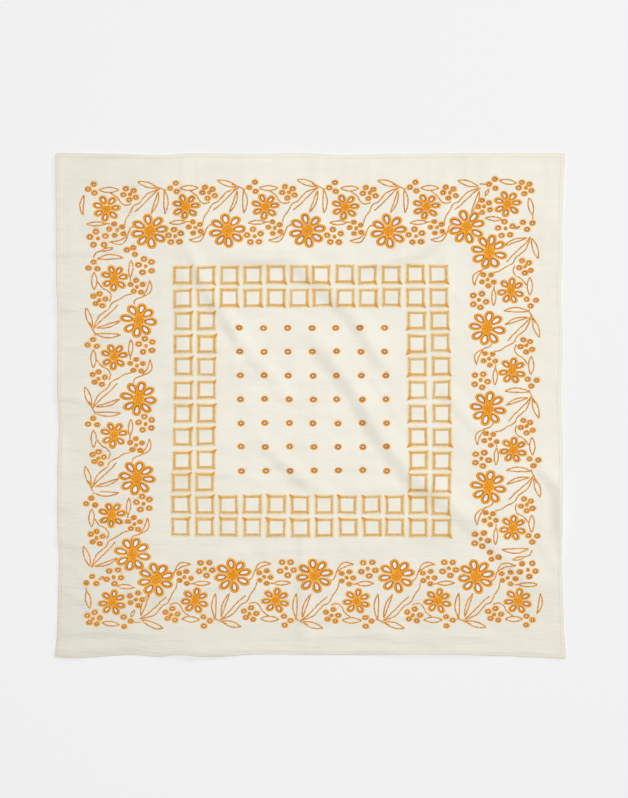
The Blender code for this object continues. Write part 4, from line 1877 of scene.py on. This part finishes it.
@dataclass
class StemsAndLeaves:
    """Stems and leaf outlines in short running stitches."""

    lines: list[np.ndarray]
    pitch: float = 2.2
    overlap: float = 0.25
    wander: float = 0.13
    tones: Spot = (0.1, 0.75)
    stitches: Stitches = field(default_factory=lambda: Stitches(1.85, 0.32, sides=5))
    seed: int = 21

    def work(self, needlework: Needlework) -> None:
        """Stitch every line.

        Args:
            needlework: The piece that they belong to.
        """
        draw = np.random.default_rng(self.seed)
        ends = []
        for line in self.lines:
            points = smooth_line(line, self.pitch)
            points[1:-1] += draw.normal(0.0, self.wander, (len(points) - 2, 2))
            run = np.diff(points, axis=0)
            reach = run / np.linalg.norm(run, axis=1)[:, None] * self.overlap
            ends.append(np.stack([points[:-1] - reach, points[1:] + reach], axis=1))
        ends = np.concatenate(ends)
        self.stitches.add_to(needlework, ends, draw.uniform(*self.tones, len(ends)))


@dataclass
class FlowerHearts:
    """The satin disc in each flower with its small knot, and the satin dot of each berry cluster."""

    hearts: list[Heart]
    dots: list[np.ndarray]
    height: float = 0.3
    columns: int = 44
    groove: float = 0.72
    strand_length: float = 5.0
    tone: float = 0.35
    # Painted light along each petal and painted shade in the seams between petals, and painted light on each
    # thread's crest
    painted_ray_shade: float = 0.4
    painted_crest_light: float = 0.25
    tone_jitter: float = 0.05
    knot: float = 1.9
    knot_turns: tuple[float, ...] = (20.0, 80.0, 140.0)
    knot_stitch: Stitches = field(default_factory=lambda: Stitches(0.7, 1.3, sides=5))
    knot_tone: float = 1.0
    dot: float = 4.8
    dot_stitches: int = 8
    dot_spread: float = 0.85
    dot_stitch: Stitches = field(default_factory=lambda: Stitches(0.8, 0.35, sides=4))
    dot_tones: Spot = (0.55, 0.95)
    seed: int = 31

    # From the middle out over the disc to its foot under the petals: share of the radius and height
    PROFILE = ((0.05, -0.9), (0.09, 0.35), (0.30, 0.95), (0.62, 1.0), (0.90, 0.55), (1.0, -0.9))

    def discs(self, needlework: Needlework, draw: np.random.Generator) -> None:
        """Spin one disc and copy it to each flower.

        Args:
            needlework: The piece that the discs belong to.
            draw: Where their unevenness comes from.
        """
        pattern, column = Pattern.spun(self.PROFILE, self.columns, 0.0)
        u, v, rise = pattern.points.T
        crest = np.where(column % 2 == 0, 1.0, self.groove)
        height = np.where(rise > 0, rise * self.height * crest, rise * self.height)
        strand = np.column_stack([column / 2, np.hypot(u, v) * self.strand_length])[pattern.corners]
        around = pattern.by_face(column)
        first = (around == 0) & (np.ptp(around, axis=1) > 1)[:, None]
        strand[first.ravel(), 0] = self.columns / 2
        placed = []
        tones = []
        # Painted light on every other column, where the thread's crest stands up
        thread = np.where(column % 2 == 0, self.painted_crest_light, 0.0)
        for heart in self.hearts:
            flat = heart.centre + np.column_stack([u, v]) * heart.radius * np.array(PULL)
            placed.append(np.column_stack([flat, height]))
            # Painted shade in the seams between the petals, painted light along them
            ray = np.cos(heart.petals * (np.arctan2(v, u) - heart.turn))
            tones.append(self.tone + self.painted_ray_shade * ray + thread)
        strands = np.broadcast_to(strand, (len(placed), *strand.shape))
        uneven = draw.uniform(-self.tone_jitter, self.tone_jitter, len(placed))
        tones = np.clip(np.array(tones) + uneven[:, None], 0.0, 1.0)
        needlework.add(pattern, np.array(placed), strands, tones)

    def work(self, needlework: Needlework) -> None:
        """Stitch the discs, their knots and the dots.

        Args:
            needlework: The piece that they belong to.
        """
        draw = np.random.default_rng(self.seed)
        self.discs(needlework, draw)
        knots = []
        for heart in self.hearts:
            for turn in np.radians(self.knot_turns):
                reach = self.knot / 2 * np.array([math.cos(turn), math.sin(turn)])
                knots.append((heart.centre - reach, heart.centre + reach))
        self.knot_stitch.add_to(needlework, np.array(knots), np.full(len(knots), self.knot_tone))
        rows = []
        for centre in self.dots:
            turn = draw.uniform(0, math.pi)
            ahead = np.array([math.cos(turn), math.sin(turn)])
            aside = np.array([-ahead[1], ahead[0]])
            for share in np.linspace(-self.dot_spread, self.dot_spread, self.dot_stitches):
                middle = centre + aside * share * self.dot / 2
                reach = ahead * self.dot / 2 * math.sqrt(1 - share**2)
                rows.append((middle - reach, middle + reach))
        self.dot_stitch.add_to(needlework, np.array(rows), draw.uniform(*self.dot_tones, len(rows)))


@dataclass
class GauzeSquare:
    """The cloth: one thin sheet with its hem turned under and its eyelets cut through."""

    drape: Drape
    finish: GauzeFinish
    step: float = 3.4
    corner_radius: float = 2.2
    least_radius: float = 0.6
    corner_turns: tuple[float, ...] = (0.0, 30.0, 60.0)
    hem_line_gap: float = 0.55
    hole_clearance: float = 1.5
    line_clearance: float = 2.1
    hole_reach: float = 8.0
    merge_distance: float = 1e-6

    def hem_line(self, inset: float) -> np.ndarray:
        """A line round the cloth at an inset from its edge.

        Args:
            inset: How far in from the edge it is.

        Returns:
            Its places, anticlockwise, with rounded corners.
        """
        half = FLAT_SIDE / 2 - inset
        radius = max(self.corner_radius - inset, self.least_radius)
        middle = half - radius
        steps = round(2 * middle / self.step)
        points = []
        for turn in np.radians((0, 90, 180, 270)):
            side = [(half, middle * (2 * i / steps - 1)) for i in range(steps)]
            for angle in np.radians(self.corner_turns):
                side.append((middle + radius * math.cos(angle), middle + radius * math.sin(angle)))
            spin = np.array([[math.cos(turn), math.sin(turn)], [-math.sin(turn), math.cos(turn)]])
            points.append(np.array(side) @ spin)
        return np.concatenate(points)

    def inner_places(self, holes: Sequence[np.ndarray]) -> np.ndarray:
        """An even net of places between the hem and the holes.

        Args:
            holes: The cut lines.

        Returns:
            The places that are clear of the hem's lines and of every hole.
        """
        reach = FLAT_SIDE / 2 - self.drape.hem_width - self.line_clearance
        count = round(2 * reach / self.step)
        across = np.linspace(-reach, reach, count + 1)
        rise = self.step * math.sqrt(3) / 2
        up = np.linspace(-reach, reach, round(2 * reach / rise) + 1)
        near = KDTree(sum(len(hole) for hole in holes))
        middles = KDTree(len(holes))
        sizes = []
        for number, hole in enumerate(holes):
            centre = hole.mean(axis=0)
            middles.insert((*centre, 0.0), number)
            sizes.append(np.linalg.norm(hole - centre, axis=1).min())
            for point in hole:
                near.insert((*point, 0.0), number)
        near.balance()
        middles.balance()
        kept = []
        for row, v in enumerate(up):
            for u in across + (self.step / 2 if row % 2 else 0.0):
                if u > reach or near.find((u, v, 0.0))[2] < self.hole_clearance:
                    continue
                _, number, gap = middles.find((u, v, 0.0))
                if gap > sizes[number] and not self.inside((u, v), holes, middles):
                    kept.append((u, v))
        return np.array(kept)

    def inside(self, place: Spot, holes: Sequence[np.ndarray], middles: KDTree) -> bool:
        """Whether a place is in one of the holes near it.

        Args:
            place: The place.
            holes: The cut lines.
            middles: The middle of each hole.

        Returns:
            True where it is on the same side of all the edges of a hole.
        """
        for _, number, _ in middles.find_range((*place, 0.0), self.hole_reach):
            ring = holes[number]
            ahead = np.roll(ring, -1, axis=0) - ring
            to_place = np.array(place) - ring
            sides = ahead[:, 0] * to_place[:, 1] - ahead[:, 1] * to_place[:, 0]
            if (sides > 0).all() or (sides < 0).all():
                return True
        return False

    def net(self, holes: Sequence[np.ndarray]) -> tuple[np.ndarray, list[list[int]]]:
        """Cover the cloth with triangles that keep to the hem's lines and the cut lines.

        Args:
            holes: The cut lines.

        Returns:
            The places on the flat cloth, and the corners of each triangle.
        """
        width = self.drape.hem_width
        insets = (0.0, self.drape.hem_round, width - self.hem_line_gap, width + self.hem_line_gap)
        loops = [self.hem_line(inset) for inset in insets] + list(holes)
        first_hole = len(insets)
        owner = np.concatenate([np.full(len(loop), number) for number, loop in enumerate(loops)])
        edges = []
        start = 0
        for loop in loops:
            edges += [(start + i, start + (i + 1) % len(loop)) for i in range(len(loop))]
            start += len(loop)
        net = self.inner_places(holes)
        owner = np.concatenate([owner, np.full(len(net), -1)])
        flat = [Vector(point) for point in np.concatenate([*loops, net]).tolist()]
        corners, _, faces, sources, _, _ = delaunay_2d_cdt(flat, edges, [], 1, self.merge_distance)
        owner = np.array([owner[source[0]] for source in sources])
        triangles = np.array(faces)
        owners = owner[triangles]
        cut = (owners[:, 0] >= first_hole) & (owners == owners[:, :1]).all(axis=1)
        return np.array([tuple(corner) for corner in corners]), triangles[~cut].tolist()

    def work(self, holes: Sequence[np.ndarray]) -> bpy.types.Object:
        """Make the cloth.

        Args:
            holes: The cut lines of all its eyelets.

        Returns:
            The cloth as one piece, which stands for the solid.
        """
        flat, triangles = self.net(holes)
        mesh = bpy.data.meshes.new("gauze_square")
        mesh.from_pydata(self.drape.place(flat, 0.0).tolist(), [], triangles)
        corners = np.empty(len(mesh.loops), int)
        mesh.loops.foreach_get("vertex_index", corners)
        mesh.uv_layers.new(name="Flat").data.foreach_set("uv", (flat / FLAT_SIDE + 0.5)[corners].ravel())
        mesh.shade_smooth()
        cloth = dress("gauze_square", mesh, self.finish.material())
        group = cloth.vertex_groups.new(name="thickness")
        shares = self.drape.thickness(flat) / self.drape.hem_thickness
        for number, share in enumerate(shares.tolist()):
            group.add([number], share, "REPLACE")
        thicken = cloth.modifiers.new("thickness", "SOLIDIFY")
        thicken.thickness = self.drape.hem_thickness * MM
        thicken.offset = -1.0
        thicken.vertex_group = group.name
        thicken.use_rim = True
        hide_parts("cloth")
        return cloth


@dataclass
class HemStitching:
    """The line of small cream stitches that holds the hem. Their bare ends are shares of the pitch."""

    inset: float = 3.9
    pitch: float = 2.9
    bare_end: float = 0.7 / 6
    jitter: float = 0.12
    tones: Spot = (0.3, 0.7)
    stitches: Stitches = field(default_factory=lambda: Stitches(0.34, 0.16, sides=4, rise=0.06))
    seed: int = 41

    def work(self, needlework: Needlework) -> None:
        """Stitch the hem down.

        Args:
            needlework: The piece that they belong to.
        """
        draw = np.random.default_rng(self.seed)
        reach = FLAT_SIDE / 2 - self.inset
        count = round(2 * reach / self.pitch)
        place = np.linspace(-reach, reach, count + 1)
        ends = []
        for side in ALL_SIDES:
            along, out = np.array(side.value, float)
            uneven = draw.normal(0.0, self.jitter, (count + 1, 1))
            line = place[:, None] * along + reach * out + uneven * out
            bare = np.diff(line, axis=0) * self.bare_end
            ends.append(np.stack([line[:-1] + bare, line[1:] - bare], axis=1))
        ends = np.concatenate(ends)
        self.stitches.add_to(needlework, ends, draw.uniform(*self.tones, len(ends)))


@dataclass(frozen=True)
class Studio:
    """The pale floor, the soft light from the upper right and the camera straight above."""

    aim: Spot = (3.7, 7.5)
    millimetres_high: float = 853.5
    lens: float = 100.0
    sensor: float = 36.0
    floor_half: float = 4.0
    floor_colour: Colour = (0.90, 0.90, 0.90, 1.0)
    floor_roughness: float = 0.95
    key_from: tuple[float, float, float] = (4.1, 3.7, 2.3)
    key_size: float = 1.8
    key_power: float = 92.0
    top_from: tuple[float, float, float] = (-0.1, -0.15, 6.0)
    top_size: float = 1.3
    top_power: float = 260.0
    sky: float = 0.17

    def build(self) -> None:
        """Set up the floor, the lights, the sky and the camera."""
        self.floor()
        self.light("key", self.key_from, self.key_size, self.key_power)
        self.light("top", self.top_from, self.top_size, self.top_power)
        world = bpy.data.worlds.new("soft sky")
        world.use_nodes = True
        background = world.node_tree.nodes["Background"]
        background.inputs["Color"].default_value = WHITE
        background.inputs["Strength"].default_value = self.sky
        bpy.context.scene.world = world
        bpy.context.scene.view_settings.view_transform = "Standard"
        self.camera()

    def floor(self) -> None:
        """Lay the plain pale floor just under the cloth."""
        sheet = bmesh.new()
        bmesh.ops.create_grid(sheet, x_segments=2, y_segments=2, size=self.floor_half)
        mesh = bpy.data.meshes.new("floor")
        sheet.to_mesh(mesh)
        sheet.free()
        material, _, shader = principled("pale floor", self.floor_roughness, 0.0)
        shader.inputs["Base Color"].default_value = self.floor_colour
        mesh.materials.append(material)
        floor = bpy.data.objects.new("floor", mesh)
        bpy.context.scene.collection.objects.link(floor)

    def light(self, name: str, place: tuple[float, float, float], size: float, power: float) -> None:
        """Hang a square soft light that faces the cloth.

        Args:
            name: Its name.
            place: Where it hangs, in metres.
            size: The length of its side, in metres.
            power: Its power in watts.
        """
        lamp = bpy.data.lights.new(name, "AREA")
        lamp.shape = "SQUARE"
        lamp.size = size
        lamp.energy = power
        holder = bpy.data.objects.new(name, lamp)
        holder.location = place
        holder.rotation_euler = Vector(place).to_track_quat("Z", "Y").to_euler()
        bpy.context.scene.collection.objects.link(holder)

    def camera(self) -> None:
        """Hang the camera so that the frame's height covers its stretch of floor."""
        data = bpy.data.cameras.new("camera")
        data.lens = self.lens
        data.sensor_width = self.sensor
        holder = bpy.data.objects.new("camera", data)
        distance = self.millimetres_high * self.lens / self.sensor
        holder.location = (self.aim[0] * MM, self.aim[1] * MM, distance * MM)
        bpy.context.scene.collection.objects.link(holder)
        bpy.context.scene.camera = holder


def cut_lines(rims: Iterable[SatinRims]) -> list[np.ndarray]:
    """The line that the cloth is cut on for every eyelet."""
    return [eyelet.cut(rims_of_kind.rim) for rims_of_kind in rims for eyelet in rims_of_kind.eyelets]


def main() -> None:
    """Build the cloth and its needlework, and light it."""
    logging.basicConfig(level=logging.INFO, format="%(message)s")
    drape = Drape()
    chart = BorderChart()
    rims = [
        ("large_petal_rims", SATIN_THREAD, SatinRims(LARGE_PETAL_RIM, chart.large_petals)),
        ("small_petal_rims", SATIN_THREAD, SatinRims(SMALL_PETAL_RIM, chart.small_petals)),
        ("berry_rims", SATIN_THREAD, SatinRims(BERRY_RIM, chart.berries)),
        ("dot_rims", SATIN_THREAD, SatinRims(DOT_RIM, EyeletField().eyelets())),
    ]
    stitching = [
        ("flower_hearts", SATIN_THREAD, FlowerHearts(chart.hearts, chart.dots)),
        ("stems_and_leaves", LINE_THREAD, StemsAndLeaves(chart.lines)),
        ("stitched_squares", BAR_THREAD, StitchedSquares()),
        ("hem_stitching", HEM_THREAD, HemStitching()),
    ]
    GauzeSquare(drape, GauzeFinish()).work(cut_lines(satin for _, _, satin in rims))
    for name, finish, embroidery in rims + stitching:
        needlework = Needlework(name, finish)
        embroidery.work(needlework)
        needlework.sew(drape)
    Studio().build()


if __name__ == "__main__":
    main()
